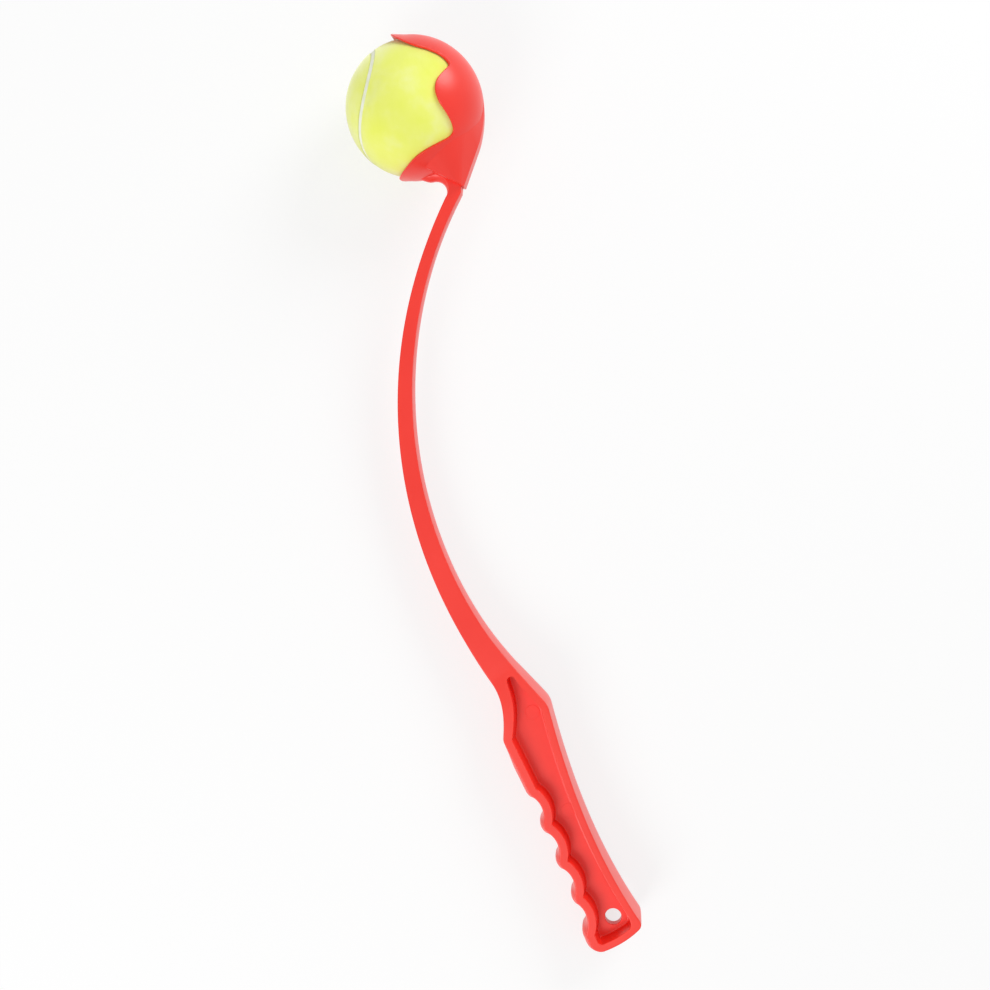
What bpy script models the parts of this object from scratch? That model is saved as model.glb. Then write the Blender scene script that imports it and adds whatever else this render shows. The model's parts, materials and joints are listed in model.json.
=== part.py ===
# Hand thrower for a dog's ball, lying on its side on the floor with the ball in its cup.
#
# Design axes: the origin is the centre of the ball, X and Y span the moulding's plane of
# symmetry (+Y from the handle towards the cup, -X out of the cup's mouth) and Z is its
# thickness. The empty "lying_pose" turns and lifts everything into the attitude in which
# the thrower rests. Lengths are metres, names ending in ANGLE or HEADING are degrees.
import math

import bmesh
import bpy
from mathutils import Euler, Matrix, Vector

# Ball
BALL_DIAMETER = 0.0650
FELT_THICKNESS = 0.0026
CORE_WALL = 0.0034
BALL_GAP = 0.0003
SEAM_WIDTH = 0.0019
SEAM_RECESS = 0.0003
FELT_EDGE_ROUND = 0.0005
BALL_TURN_ANGLES = (-30.9, -22.2, -41.4)
SEAM_MINOR_SHARE = 0.21

# Cup
CUP_CLEARANCE = 0.0003
CUP_WALL = 0.0012
LOBE_WALL = 0.0009
CUP_RIM_ROUND = 0.0004
MOUTH_HEADING = 182.0
# The rim down the cup's front: the turn about the mouth's axis, -90 at the upper lobe's tip,
# 0 on the side lobe and 90 at the lower lobe's tip, and the angle between that axis and the rim
RIM_ANGLES = ((-90, 76), (-75, 76.5), (-62, 79.5), (-52, 88), (-45.5, 98.5), (-43, 110.5),
              (-40, 121.5), (-33, 128), (-23, 124), (-12, 117.8), (-2, 116.2), (8, 119),
              (17, 124), (27, 128.3), (37, 129.8), (42.6, 126), (45, 115), (48.5, 104),
              (54.5, 94.5), (64, 86.5), (76, 80), (90, 76.5))

# Neck and arm: one arc from below the cup to the handle's shoulder
NECK_REACH = 0.0448
NECK_HEADING = -62.2
ARM_HEADING = -118.0
ARM_RADIUS = 0.2114
ARM_SWEEP_ANGLE = 67.0
NECK_WIDTH = 0.0060
WAIST_WIDTH = 0.0060
MIDDLE_WIDTH = 0.0072
LOWER_WIDTH = 0.0096
WRIST_WIDTH = 0.0114
SHOULDER_WIDTH = 0.0137
NECK_THICKNESS = 0.0090
MIDDLE_THICKNESS = 0.0110
LOWER_THICKNESS = 0.0140
SHOULDER_THICKNESS = 0.0175
# Where on the way from the neck to the shoulder the arm has these widths and thicknesses
ARM_WIDTH_SHARES = (0.0, 0.14, 0.35, 0.72, 0.9, 1.0)
ARM_THICKNESS_SHARES = (0.0, 0.4, 0.8, 1.0)
ARM_CROWN = 0.0002
NECK_FILLET = 0.0050
BACK_LINE_ANGLE = -20.0
BACK_BLEND_ANGLE = 8.0
BLEND_END_SHARE = 0.25
GUSSET_STEP = 0.0005
GUSSET_SINK = 0.0004
GUSSET_HEADING = -48.0
GUSSET_RING_ANGLE = 36.0
CREASE_REACH = 0.0246
CREASE_HEADING = 156.0
NECK_BULGE = 0.0030

# Handle, measured from the arm's end: along the handle, and across it towards its back
HANDLE_HEADING = -66.5
HANDLE_THICKNESS = 0.0220
THICKENING_RUN = 0.0260
RIM_WIDTH = 0.0043
SHOULDER_RIM_WIDTH = 0.0066
BACK_RIM_WIDTH = 0.0036
BOTTOM_RIM_WIDTH = 0.0036
THUMB_CROWN = 0.0008
GRIP_CROWN = 0.0021
HOLLOW_CROWN = 0.0007
SHOULDER_CURVE = 0.0100
SHOULDER_END_HEADING = -92.5
THUMB_CORNER_ACROSS = 0.0076
THUMB_CORNER_ALONG = 0.0315
BACK_CORNER_ACROSS = 0.0151
BACK_CORNER_ALONG = 0.0222
BACK_CORNER_ROUND = 0.0030
BACK_HOLLOW_UPPER = 0.0061
BACK_HOLLOW_LOWER = 0.0080
FINGER_LINE = 0.0063
FINGER_START = 0.0577
FINGER_PITCH = 0.0191
FINGER_COUNT = 4
FINGER_HOLLOW = 0.0030
HEEL_KICK = 0.0022
HEEL_DROP = 0.0037
HEEL_ROUND = 0.0019
TOE_ACROSS = 0.0149
TOE_DROP = 0.0044
TOE_ROUND = 0.0030
BOTTOM_CURVE_ACROSS = 0.0052
WEB_THICKNESS = 0.0050
POCKET_TOP_ACROSS = 0.0032
POCKET_TOP_ALONG = 0.0050
POCKET_TOP_ROUND = 0.0023
POCKET_CORNER_ROUND = 0.0050
POCKET_DRAFT = 0.0006
POCKET_FILLET = 0.0009
HOLE_DIAMETER = 0.0080
HOLE_ACROSS = 0.0021
HOLE_RISE = 0.0024

# How far cutters reach past what they cut
OVERRUN = 0.0010

# Fineness
CUP_COLUMNS = 72
CUP_ROWS = 11
ARM_STATIONS = 30
FAN_STATIONS = 8
GUSSET_SIDES = 24
SHOULDER_STATIONS = 9
HOLLOW_STEPS = 8
HEEL_STEPS = 5
TOE_STEPS = 4
BOTTOM_STATIONS = 5
POCKET_BACK_STEPS = 23
POCKET_BOTTOM_STEPS = 4
POCKET_BOTTOM_SHARE = 0.70
POCKET_TOE_STEPS = 6
HOLE_SIDES = 24
SEAM_STEPS = 72
FELT_RINGS = 10
FELT_REACH_ANGLE = 150.0
CORE_SIDES = 36
CORE_RINGS = 5

BALL_RADIUS = BALL_DIAMETER / 2
CORE_RADIUS = BALL_RADIUS - FELT_THICKNESS
CUP_INNER_RADIUS = BALL_RADIUS + CUP_CLEARANCE
CUP_OUTER_RADIUS = CUP_INNER_RADIUS + CUP_WALL
CUP_MIDDLE_RADIUS = CUP_INNER_RADIUS + CUP_WALL / 2
HEEL_ALONG = FINGER_START + FINGER_PITCH * FINGER_COUNT
TOE_ALONG = HEEL_ALONG + TOE_DROP
HOLE_ALONG = HEEL_ALONG - HOLE_RISE
EDGE_ROW_SHARES = (1.0, 0.6, 0.0, -0.6, -1.0)
TINY = BALL_GAP / 100


def clear_scene():
    for item in list(bpy.data.objects):
        bpy.data.objects.remove(item, do_unlink=True)


def make_material(name, colour, roughness):
    material = bpy.data.materials.new(name)
    material.use_nodes = True
    shader = material.node_tree.nodes["Principled BSDF"]
    shader.inputs["Base Color"].default_value = (*colour, 1)
    shader.inputs["Roughness"].default_value = roughness
    shader.inputs["Metallic"].default_value = 0
    return material


def make_empty(name, parent=None):
    empty = bpy.data.objects.new(name, None)
    bpy.context.collection.objects.link(empty)
    empty.parent = parent
    return empty


def make_object(name, bm, material, parent, sharp_angle=35):
    bmesh.ops.remove_doubles(bm, verts=bm.verts, dist=TINY)
    bmesh.ops.dissolve_degenerate(bm, edges=bm.edges, dist=TINY)
    bmesh.ops.recalc_face_normals(bm, faces=bm.faces)
    mesh = bpy.data.meshes.new(name)
    bm.to_mesh(mesh)
    bm.free()
    mesh.materials.append(material)
    mesh.shade_smooth()
    mesh.set_sharp_from_angle(angle=math.radians(sharp_angle))
    item = bpy.data.objects.new(name, mesh)
    bpy.context.collection.objects.link(item)
    item.parent = parent
    return item


def combine(target, other, operation):
    modifier = target.modifiers.new(other.name, "BOOLEAN")
    modifier.operation = operation
    modifier.solver = "EXACT"
    modifier.object = other
    other.hide_render = True
    other.display_type = "WIRE"


def heading(angle):
    return Vector((math.cos(math.radians(angle)), math.sin(math.radians(angle)), 0))


def heading_of(direction):
    return math.degrees(math.atan2(direction.y, direction.x))


def turned_left(direction):
    return Vector((-direction.y, direction.x, 0))


def bezier(points, share):
    rest = 1 - share
    if len(points) == 3:
        a, b, c = points
        return a * rest**2 + b * (2 * rest * share) + c * share**2
    a, b, c, d = points
    return a * rest**3 + b * (3 * rest**2 * share) + c * (3 * rest * share**2) + d * share**3


def spline_between(stops, share):
    # Smooth curve through (share, value) stops
    slopes = []
    for k in range(len(stops)):
        before = stops[max(k - 1, 0)]
        after = stops[min(k + 1, len(stops) - 1)]
        slopes.append((after[1] - before[1]) / (after[0] - before[0]))
    for k in range(len(stops) - 1):
        start, low = stops[k]
        end, high = stops[k + 1]
        if share <= end:
            span = end - start
            part = (share - start) / span
            rise = slopes[k] * part * (1 - part)**2 - slopes[k + 1] * part**2 * (1 - part)
            return low * (1 + 2 * part) * (1 - part)**2 + high * part**2 * (3 - 2 * part) + rise * span
    return stops[-1][1]


def straight_between(stops, place):
    for (start, low), (end, high) in zip(stops, stops[1:]):
        if place <= end:
            return low + (high - low) * (place - start) / (end - start)
    return stops[-1][1]


def turn_between(start, end, count):
    # Directions on the way from one to the other, without the two ends
    first = heading_of(start)
    swing = (heading_of(end) - first + 180) % 360 - 180
    return [heading(first + swing * k / count) for k in range(1, count)]


def meeting_point(start, direction, other, other_direction):
    # Where two straight lines of the drawing cross
    gap = other - start
    spread = direction.x * other_direction.y - direction.y * other_direction.x
    return start + direction * ((gap.x * other_direction.y - gap.y * other_direction.x) / spread)


# The moulding's edges are followed in pairs of points, called stations. A station holds the
# front face's edge on the grip side and on the back, the way out from each, how far the side
# wall bulges there, and half of the thickness.


def station(left, left_out, right, right_out, half, left_crown=ARM_CROWN):
    return {"left": left, "left_out": left_out, "right": right, "right_out": right_out,
            "half": half, "left_crown": left_crown}


def arm_centre(share):
    neck = heading(NECK_HEADING) * NECK_REACH
    pivot = neck + turned_left(heading(ARM_HEADING)) * ARM_RADIUS
    return pivot - turned_left(heading(ARM_HEADING + ARM_SWEEP_ANGLE * share)) * ARM_RADIUS


def arm_station(share):
    widths = list(zip(ARM_WIDTH_SHARES, (NECK_WIDTH, WAIST_WIDTH, MIDDLE_WIDTH, LOWER_WIDTH,
                                         WRIST_WIDTH, SHOULDER_WIDTH)))
    thicknesses = list(zip(ARM_THICKNESS_SHARES, (NECK_THICKNESS, MIDDLE_THICKNESS,
                                                  LOWER_THICKNESS, SHOULDER_THICKNESS)))
    centre = arm_centre(share)
    out = turned_left(heading(ARM_HEADING + ARM_SWEEP_ANGLE * share))
    face = out * (spline_between(widths, share) / 2 - ARM_CROWN)
    half = spline_between(thicknesses, share) / 2
    return station(centre - face, -out, centre + face, out, half)


def back_blend(arm_point, lift):
    # The back outline, straight from the arm and then round to a tangent on the cup, with the
    # way out; a lift fades away towards the cup
    out = heading(BACK_LINE_ANGLE)
    turn = math.cos(math.radians(BACK_BLEND_ANGLE - BACK_LINE_ANGLE))
    radius = (arm_point.dot(out) - CUP_OUTER_RADIUS * turn) / (1 - turn)
    centre = heading(BACK_BLEND_ANGLE) * (CUP_OUTER_RADIUS - radius)
    places = [(arm_point + out * lift, out)]
    for k in range(FAN_STATIONS):
        part = k / (FAN_STATIONS - 1)
        way = heading(BACK_LINE_ANGLE + (BACK_BLEND_ANGLE - BACK_LINE_ANGLE) * part)
        places.append((centre + way * (radius + lift * (1 - part)), way))
    return places


def blend_half(index, start):
    # Half of the back's thickness at one of its places, thinning towards the cup
    return start * (1 - (1 - BLEND_END_SHARE) * index / FAN_STATIONS)


def neck_stations():
    # The grip side's fillet, from the cup down to the arm, faces the back's blend
    neck = arm_station(0)
    down = heading(ARM_HEADING)
    start = neck["left"] + neck["left_out"] * NECK_FILLET
    reach = CUP_OUTER_RADIUS + NECK_FILLET
    slide = math.sqrt(start.dot(down)**2 - start.length_squared + reach**2) - start.dot(down)
    centre = start + down * slide
    first = ARM_HEADING + 90
    last = heading_of(-centre)
    blend = back_blend(neck["right"], 0)
    stations = []
    for k in range(FAN_STATIONS + 1):
        out = heading(first + (last - first) * k / FAN_STATIONS)
        half = blend_half(k, neck["half"])
        bulge = (NECK_BULGE - ARM_CROWN) * k / FAN_STATIONS
        edge = centre + out * (NECK_FILLET + bulge)
        stations.append(station(edge, -out, *blend[k], half, ARM_CROWN + bulge))
    inside = dict(stations[-1])
    inside_share = CUP_INNER_RADIUS / CUP_OUTER_RADIUS
    inside["left"] = inside["left"] * inside_share
    inside["right"] = inside["right"] * inside_share
    stations.append(inside)
    arm_length = ARM_RADIUS * math.radians(ARM_SWEEP_ANGLE)
    return stations[::-1], slide / arm_length


def handle_point(across, along):
    down = heading(HANDLE_HEADING)
    return arm_centre(1) + turned_left(down) * across + down * along


def handle_place(point):
    down = heading(HANDLE_HEADING)
    offset = point - arm_centre(1)
    return offset.dot(turned_left(down)), offset.dot(down)


def back_across(along):
    # Distance across to the front face's edge on the handle's back
    start_across, start_along = handle_place(arm_station(1)["right"])
    slope = (BACK_CORNER_ACROSS - start_across) / (BACK_CORNER_ALONG - start_along)
    curve = (BACK_CORNER_ACROSS, BACK_CORNER_ACROSS - BACK_HOLLOW_UPPER,
             TOE_ACROSS - BACK_HOLLOW_LOWER, TOE_ACROSS)
    low = BACK_CORNER_ALONG - BACK_CORNER_ROUND
    high = BACK_CORNER_ALONG + BACK_CORNER_ROUND
    length = TOE_ALONG - BACK_CORNER_ALONG
    before = start_across + slope * (low - start_along)
    after = bezier(curve, BACK_CORNER_ROUND / length)
    if along <= low:
        return before + slope * (along - low)
    if along >= high:
        return bezier(curve, (along - BACK_CORNER_ALONG) / length)
    return bezier((before, BACK_CORNER_ACROSS, after), (along - low) / (high - low))


def back_place(along):
    # The same edge as a point of the drawing, with the way out from it
    step = BACK_CORNER_ROUND / 10
    before = handle_point(back_across(along - step), along - step)
    after = handle_point(back_across(along + step), along + step)
    return handle_point(back_across(along), along), turned_left((after - before).normalized())


def knuckle(index):
    # Corner of the rim's inner edge above or below a finger hollow
    kick = HEEL_KICK if index == FINGER_COUNT else 0
    return handle_point(-FINGER_LINE - kick, FINGER_START + FINGER_PITCH * index)


def hollow(upper, lower):
    # The rim's inner edge round one finger hollow, with the way out at each point
    chord = lower - upper
    down = chord.normalized()
    out = -turned_left(down)
    radius = (chord.length_squared / 4 + FINGER_HOLLOW**2) / (FINGER_HOLLOW * 2)
    half_angle = math.asin(chord.length / 2 / radius)
    centre = (upper + lower) / 2 + out * (radius - FINGER_HOLLOW)
    places = []
    for k in range(HOLLOW_STEPS + 1):
        angle = half_angle * (1 - 2 * k / HOLLOW_STEPS)
        way = out * math.cos(angle) + down * math.sin(angle)
        places.append((centre - way * radius, way))
    return places


def grip_places():
    # (inner edge of the rim, way out, rim width, bulge of the side wall) from the arm's end to
    # the middle of the heel
    start = arm_station(1)["left"]
    thumb = handle_point(-THUMB_CORNER_ACROSS, THUMB_CORNER_ALONG)
    end_out = -turned_left(heading(SHOULDER_END_HEADING))
    corner = thumb + end_out * RIM_WIDTH
    curve = (start, start + heading(ARM_HEADING + ARM_SWEEP_ANGLE) * SHOULDER_CURVE,
             corner - heading(SHOULDER_END_HEADING) * SHOULDER_CURVE, corner)
    edge = [bezier(curve, k / SHOULDER_STATIONS) for k in range(SHOULDER_STATIONS + 1)]
    places = []
    for k in range(1, SHOULDER_STATIONS):
        out = -turned_left((edge[k + 1] - edge[k - 1]).normalized())
        part = k / SHOULDER_STATIONS
        width = SHOULDER_RIM_WIDTH + (RIM_WIDTH - SHOULDER_RIM_WIDTH) * part
        places.append((edge[k] - out * width, out, width,
                       ARM_CROWN + (THUMB_CROWN - ARM_CROWN) * part))
    places.append((thumb, end_out, RIM_WIDTH, THUMB_CROWN))
    line_out = -turned_left((knuckle(0) - thumb).normalized())
    for way in turn_between(end_out, line_out, 3):
        places.append((thumb, way, RIM_WIDTH, THUMB_CROWN))
    places.append((thumb, line_out, RIM_WIDTH, (THUMB_CROWN + GRIP_CROWN) / 2))
    places.append(((thumb + knuckle(0)) / 2, line_out, RIM_WIDTH, GRIP_CROWN))
    places.append((knuckle(0), line_out, RIM_WIDTH, GRIP_CROWN))
    for finger in range(FINGER_COUNT):
        arc = hollow(knuckle(finger), knuckle(finger + 1))
        for way in turn_between(places[-1][1], arc[0][1], 4):
            places.append((arc[0][0], way, RIM_WIDTH, GRIP_CROWN))
        for k, (point, way) in enumerate(arc):
            off_middle = abs(2 * k / HOLLOW_STEPS - 1)
            crown = HOLLOW_CROWN + (GRIP_CROWN - HOLLOW_CROWN) * off_middle**2
            places.append((point, way, RIM_WIDTH, crown))
    across = turned_left(heading(HANDLE_HEADING))
    heel = places[-1][0]
    for way in turn_between(places[-1][1], -across, 3):
        places.append((heel, way, RIM_WIDTH, GRIP_CROWN))
    places.append((heel, -across, RIM_WIDTH, GRIP_CROWN))
    centre = heel + across * HEEL_ROUND + heading(HANDLE_HEADING) * HEEL_DROP
    for k in range(HEEL_STEPS + 1):
        part = k / HEEL_STEPS
        way = heading(heading_of(-across) + 90 * part)
        width = RIM_WIDTH + (BOTTOM_RIM_WIDTH - RIM_WIDTH) * part
        crown = GRIP_CROWN + (ARM_CROWN - GRIP_CROWN) * part**2
        places.append((centre + way * HEEL_ROUND, way, width, crown))
    return places


def bottom_place(share):
    # Front face's edge along the bottom, from the heel to the toe, with the way out
    point, way, width, crown = grip_places()[-1]
    start = point + way * width
    across, along = handle_place(start)
    curve = (start, handle_point(BOTTOM_CURVE_ACROSS, along), handle_point(TOE_ACROSS, TOE_ALONG))
    tangent = (curve[1] - curve[0]) * (1 - share) + (curve[2] - curve[1]) * share
    return bezier(curve, share), -turned_left(tangent.normalized())


def toe_place(part, bottom_share):
    # Front face's edge round the toe, from the back to a place on the bottom, with the way out
    back, back_out = back_place(TOE_ALONG - TOE_ROUND)
    bottom, bottom_out = bottom_place(bottom_share)
    first = heading_of(back_out)
    swing = (heading_of(bottom_out) - first + 180) % 360 - 180
    corner = handle_point(TOE_ACROSS, TOE_ALONG)
    return bezier((back, corner, bottom), part), heading(first + swing * part)


def bottom_stations():
    # From the heel and the back on to the bottom's middle
    span = (handle_point(TOE_ACROSS, TOE_ALONG) - bottom_place(0)[0]).length
    toe_share = 1 - TOE_ROUND / span
    count = TOE_STEPS + BOTTOM_STATIONS
    stations = []
    for k in range(count):
        left_share = k / (2 * count)
        if k < TOE_STEPS:
            right = toe_place((k + 1) / TOE_STEPS, toe_share)
        else:
            part = (k + 1 - TOE_STEPS) / BOTTOM_STATIONS
            last_share = left_share + 1 / (2 * count)
            right = bottom_place(toe_share + (last_share - toe_share) * part)
        stations.append(station(*bottom_place(left_share), *right, HANDLE_THICKNESS / 2))
    return stations


def handle_stations():
    end = arm_station(1)
    places = grip_places()
    first_left = handle_place(end["left"])[1]
    first_right = handle_place(end["right"])[1]
    point, way, width, crown = places[-1]
    last_left = handle_place(point + way * width)[1]
    stops = ((first_left, first_right), (THUMB_CORNER_ALONG, THUMB_CORNER_ALONG),
             (HEEL_ALONG, HEEL_ALONG), (last_left, TOE_ALONG - TOE_ROUND))
    stations = []
    for point, way, width, crown in places:
        left = point + way * width
        along = handle_place(left)[1]
        right, right_out = back_place(straight_between(stops, along))
        grown = min((along - first_left) / THICKENING_RUN, 1)
        ease = grown * (2 - grown)
        half = (SHOULDER_THICKNESS + (HANDLE_THICKNESS - SHOULDER_THICKNESS) * ease) / 2
        stations.append(station(left, way, right, right_out, half, crown))
    return stations + bottom_stations()


def station_ring(item):
    ring = []
    for side, crown in (("left", item["left_crown"]), ("right", ARM_CROWN)):
        rows = EDGE_ROW_SHARES if side == "left" else EDGE_ROW_SHARES[::-1]
        for share in rows:
            point = item[side] + item[side + "_out"] * crown * (1 - abs(share)**3)
            ring.append(point + Vector((0, 0, item["half"] * share)))
    return ring


def loft(rings):
    # Closed solid through rings of as many points each
    bm = bmesh.new()
    loops = [[bm.verts.new(point) for point in ring] for ring in rings]
    for lower, upper in zip(loops, loops[1:]):
        for k in range(len(lower)):
            following = (k + 1) % len(lower)
            bm.faces.new((lower[k], lower[following], upper[following], upper[k]))
    bm.faces.new(loops[0])
    bm.faces.new(loops[-1])
    return bm


def inset(outline, distance):
    # Outline moved inwards by a distance, corner by corner
    area = sum(a.x * b.y - a.y * b.x for a, b in zip(outline, outline[1:] + outline[:1]))
    side = math.copysign(1, area)
    moved = []
    for k, point in enumerate(outline):
        before = (point - outline[k - 1]).normalized()
        after = (outline[(k + 1) % len(outline)] - point).normalized()
        inwards = turned_left(before) + turned_left(after)
        moved.append(point + inwards * (side * distance * 2 / inwards.length_squared))
    return moved


def pocket_outline():
    # The rim's inner edge, once round: top, back, toe, bottom, heel, fingers and shoulder
    centre = handle_point(POCKET_TOP_ACROSS, POCKET_TOP_ALONG)
    back_start = POCKET_TOP_ALONG + POCKET_TOP_ROUND
    back_end = TOE_ALONG - BOTTOM_RIM_WIDTH - POCKET_CORNER_ROUND
    back = []
    for k in range(POCKET_BACK_STEPS + 1):
        point, way = back_place(back_start + (back_end - back_start) * k / POCKET_BACK_STEPS)
        back.append(point - way * BACK_RIM_WIDTH)
    bottom = []
    for k in range(POCKET_BOTTOM_STEPS):
        point, way = bottom_place(POCKET_BOTTOM_SHARE * (1 - k / POCKET_BOTTOM_STEPS))
        bottom.append(point - way * BOTTOM_RIM_WIDTH)
    corner = meeting_point(back[-1], back[-1] - back[-2], bottom[0], bottom[0] - bottom[1])
    curve = (back[-1], corner, bottom[0])
    toe = [bezier(curve, k / POCKET_TOE_STEPS) for k in range(1, POCKET_TOE_STEPS)]
    grip = []
    for point, way, width, crown in grip_places():
        if handle_place(point)[1] > back_start and (not grip or (point - grip[-1]).length > TINY):
            grip.append(point)
    first_way = -turned_left(heading(HANDLE_HEADING))
    last_way = turned_left((back[1] - back[0]).normalized())
    top = [centre + first_way * POCKET_TOP_ROUND]
    for way in turn_between(first_way, -heading(HANDLE_HEADING), 4):
        top.append(centre + way * POCKET_TOP_ROUND)
    top.append(centre - heading(HANDLE_HEADING) * POCKET_TOP_ROUND)
    for way in turn_between(-heading(HANDLE_HEADING), last_way, 4):
        top.append(centre + way * POCKET_TOP_ROUND)
    return top + back + toe + bottom + grip[::-1]


def pocket_cutter(name, side, parent, material):
    outline = pocket_outline()
    face = HANDLE_THICKNESS / 2
    web = WEB_THICKNESS / 2
    levels = ((face + OVERRUN, 0), (web + POCKET_FILLET, POCKET_DRAFT),
              (web + POCKET_FILLET / 4, POCKET_DRAFT + POCKET_FILLET / 3),
              (web, POCKET_DRAFT + POCKET_FILLET))
    rings = []
    for height, distance in levels:
        rings.append([point + Vector((0, 0, side * height)) for point in inset(outline, distance)])
    return make_object(name, loft(rings), material, parent)


def ball_cutter(radius, parent, material):
    bm = bmesh.new()
    bmesh.ops.create_icosphere(bm, subdivisions=4, radius=radius)
    return make_object("ball_space", bm, material, parent)


def exit_ways():
    # The ball leaves along the floor, so the cup lets it out as far to either side of the
    # mouth's own axis as the floor lies from it
    mouth = heading(MOUTH_HEADING)
    up = floor_normal()
    way = (mouth - up * mouth.dot(up)).normalized()
    return way, Vector((way.x, way.y, -way.z))


def cup_inner(direction, ways):
    # The ball's own space, and past its middle the path it leaves by
    radius = CUP_INNER_RADIUS
    for way in ways:
        if direction.dot(way) > 0:
            radius = max(radius, CUP_INNER_RADIUS / direction.cross(way).length)
    return direction * radius


def rim_stop(index):
    # A stop of the rim, counted from the upper lobe's tip; the cup's back mirrors its front
    half = len(RIM_ANGLES) - 1
    rounds, place = divmod(index, 2 * half)
    turn, angle = RIM_ANGLES[min(place, 2 * half - place)]
    if place > half:
        turn = 180 - turn
    return Vector((turn + 360 * rounds, angle))


def rim_place(share):
    # Turn and angle on the smooth line through the rim's stops
    place = share * 2 * (len(RIM_ANGLES) - 1)
    index = math.floor(place)
    part = place - index
    before, start, end, after = [rim_stop(index + step) for step in (-1, 0, 1, 2)]
    leave = (end - before) / 2
    arrive = (after - start) / 2
    return (start * (1 + 2 * part) * (1 - part)**2 + end * part**2 * (3 - 2 * part)
            + leave * part * (1 - part)**2 - arrive * part**2 * (1 - part))


def cup_direction(turn, angle):
    mouth = heading(MOUTH_HEADING)
    side = Vector((0, 0, 1))
    outward = side * math.cos(math.radians(turn)) + turned_left(mouth) * math.sin(math.radians(turn))
    return mouth * math.cos(math.radians(angle)) + outward * math.sin(math.radians(angle))


def cup_outer(inside):
    # The cup is as thick at the lobes' ends as the ball's way out leaves it
    return inside.normalized() * max(CUP_OUTER_RADIUS, inside.length + LOBE_WALL)


def cup_shell(material, parent):
    ways = exit_ways()
    round_angle = math.degrees(CUP_RIM_ROUND / CUP_OUTER_RADIUS)
    columns = []
    for k in range(CUP_COLUMNS):
        turn, rim = rim_place(k / CUP_COLUMNS)
        outside = []
        inside = []
        for row in range(1, CUP_ROWS + 1):
            angle = 180 - (180 - rim - round_angle) * row / CUP_ROWS
            inside.append(cup_inner(cup_direction(turn, angle), ways))
            outside.append(cup_outer(inside[-1]))
        edge = cup_inner(cup_direction(turn, rim), ways)
        outside.append(cup_outer(edge) - edge.normalized() * CUP_RIM_ROUND)
        inside.append(edge)
        columns.append(outside + inside[::-1])
    bm = bmesh.new()
    back = -heading(MOUTH_HEADING)
    outer_pole = bm.verts.new(back * CUP_OUTER_RADIUS)
    inner_pole = bm.verts.new(back * CUP_INNER_RADIUS)
    loops = [[bm.verts.new(point) for point in column] for column in columns]
    for one, other in zip(loops, loops[1:] + loops[:1]):
        bm.faces.new((outer_pole, one[0], other[0]))
        for k in range(len(one) - 1):
            bm.faces.new((one[k], one[k + 1], other[k + 1], other[k]))
        bm.faces.new((inner_pole, other[-1], one[-1]))
    return make_object("cup_shell", bm, material, parent)


def gusset(material, parent):
    # Thick root of the cup: its faces run from the ball of the cup down to the neck
    neck = arm_station(0)
    axis = heading(GUSSET_HEADING)
    side = turned_left(axis)
    points = []
    ring_angle = math.radians(GUSSET_RING_ANGLE)
    for k in range(GUSSET_SIDES):
        turn = math.radians(360 * k / GUSSET_SIDES)
        spread = side * math.cos(turn) + Vector((0, 0, 1)) * math.sin(turn)
        way = axis * math.cos(ring_angle) + spread * math.sin(ring_angle)
        points.append(way * (CUP_OUTER_RADIUS - GUSSET_SINK))
    for k, (point, out) in enumerate(back_blend(neck["right"], GUSSET_STEP)[:-1]):
        half = blend_half(k, neck["half"] + GUSSET_STEP)
        points.append(point + Vector((0, 0, half)))
        points.append(point - Vector((0, 0, half)))
    bm = bmesh.new()
    for point in points:
        bm.verts.new(point)
    hull = bmesh.ops.convex_hull(bm, input=bm.verts)
    spare = {item for item in hull["geom_interior"] + hull["geom_unused"]
             if isinstance(item, bmesh.types.BMVert)}
    bmesh.ops.delete(bm, geom=list(spare), context="VERTS")
    below = turned_left(heading(CREASE_HEADING))
    cut = bmesh.ops.bisect_plane(bm, geom=bm.verts[:] + bm.edges[:] + bm.faces[:], dist=TINY,
                                 plane_co=below * CREASE_REACH, plane_no=below, clear_outer=True)
    edges = [item for item in cut["geom_cut"] if isinstance(item, bmesh.types.BMEdge)]
    bmesh.ops.edgenet_fill(bm, edges=edges)
    return make_object("gusset", bm, material, parent, 25)


def hole_cutter(material, parent):
    bm = bmesh.new()
    bmesh.ops.create_cone(bm, cap_ends=True, segments=HOLE_SIDES, radius1=HOLE_DIAMETER / 2,
                          radius2=HOLE_DIAMETER / 2, depth=HANDLE_THICKNESS + OVERRUN * 2)
    bmesh.ops.translate(bm, verts=bm.verts, vec=handle_point(HOLE_ACROSS, HOLE_ALONG))
    return make_object("hanging_hole", bm, material, parent)


def thrower_body(parent):
    red = make_material("red polypropylene", (0.91, 0.06, 0.04), 0.3)
    fan, arm_start = neck_stations()
    stations = list(fan)
    for k in range(1, ARM_STATIONS + 1):
        stations.append(arm_station(arm_start + (1 - arm_start) * k / ARM_STATIONS))
    stations += handle_stations()
    body = make_object("thrower_body", loft([station_ring(item) for item in stations]), red, parent)
    combine(body, gusset(red, parent), "UNION")
    combine(body, ball_cutter(CUP_MIDDLE_RADIUS, parent, red), "DIFFERENCE")
    combine(body, cup_shell(red, parent), "UNION")
    combine(body, hole_cutter(red, parent), "DIFFERENCE")
    combine(body, pocket_cutter("pocket_front", 1, parent, red), "DIFFERENCE")
    combine(body, pocket_cutter("pocket_back", -1, parent, red), "DIFFERENCE")
    return body


def seam_direction(share):
    # Seam of a tennis ball, as a direction from its centre
    turn = 2 * math.pi * share
    major, minor = 1 - SEAM_MINOR_SHARE, SEAM_MINOR_SHARE
    return Vector((major * math.cos(turn) + minor * math.cos(3 * turn),
                   major * math.sin(turn) - minor * math.sin(3 * turn),
                   2 * math.sqrt(major * minor) * math.sin(2 * turn))).normalized()


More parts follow.
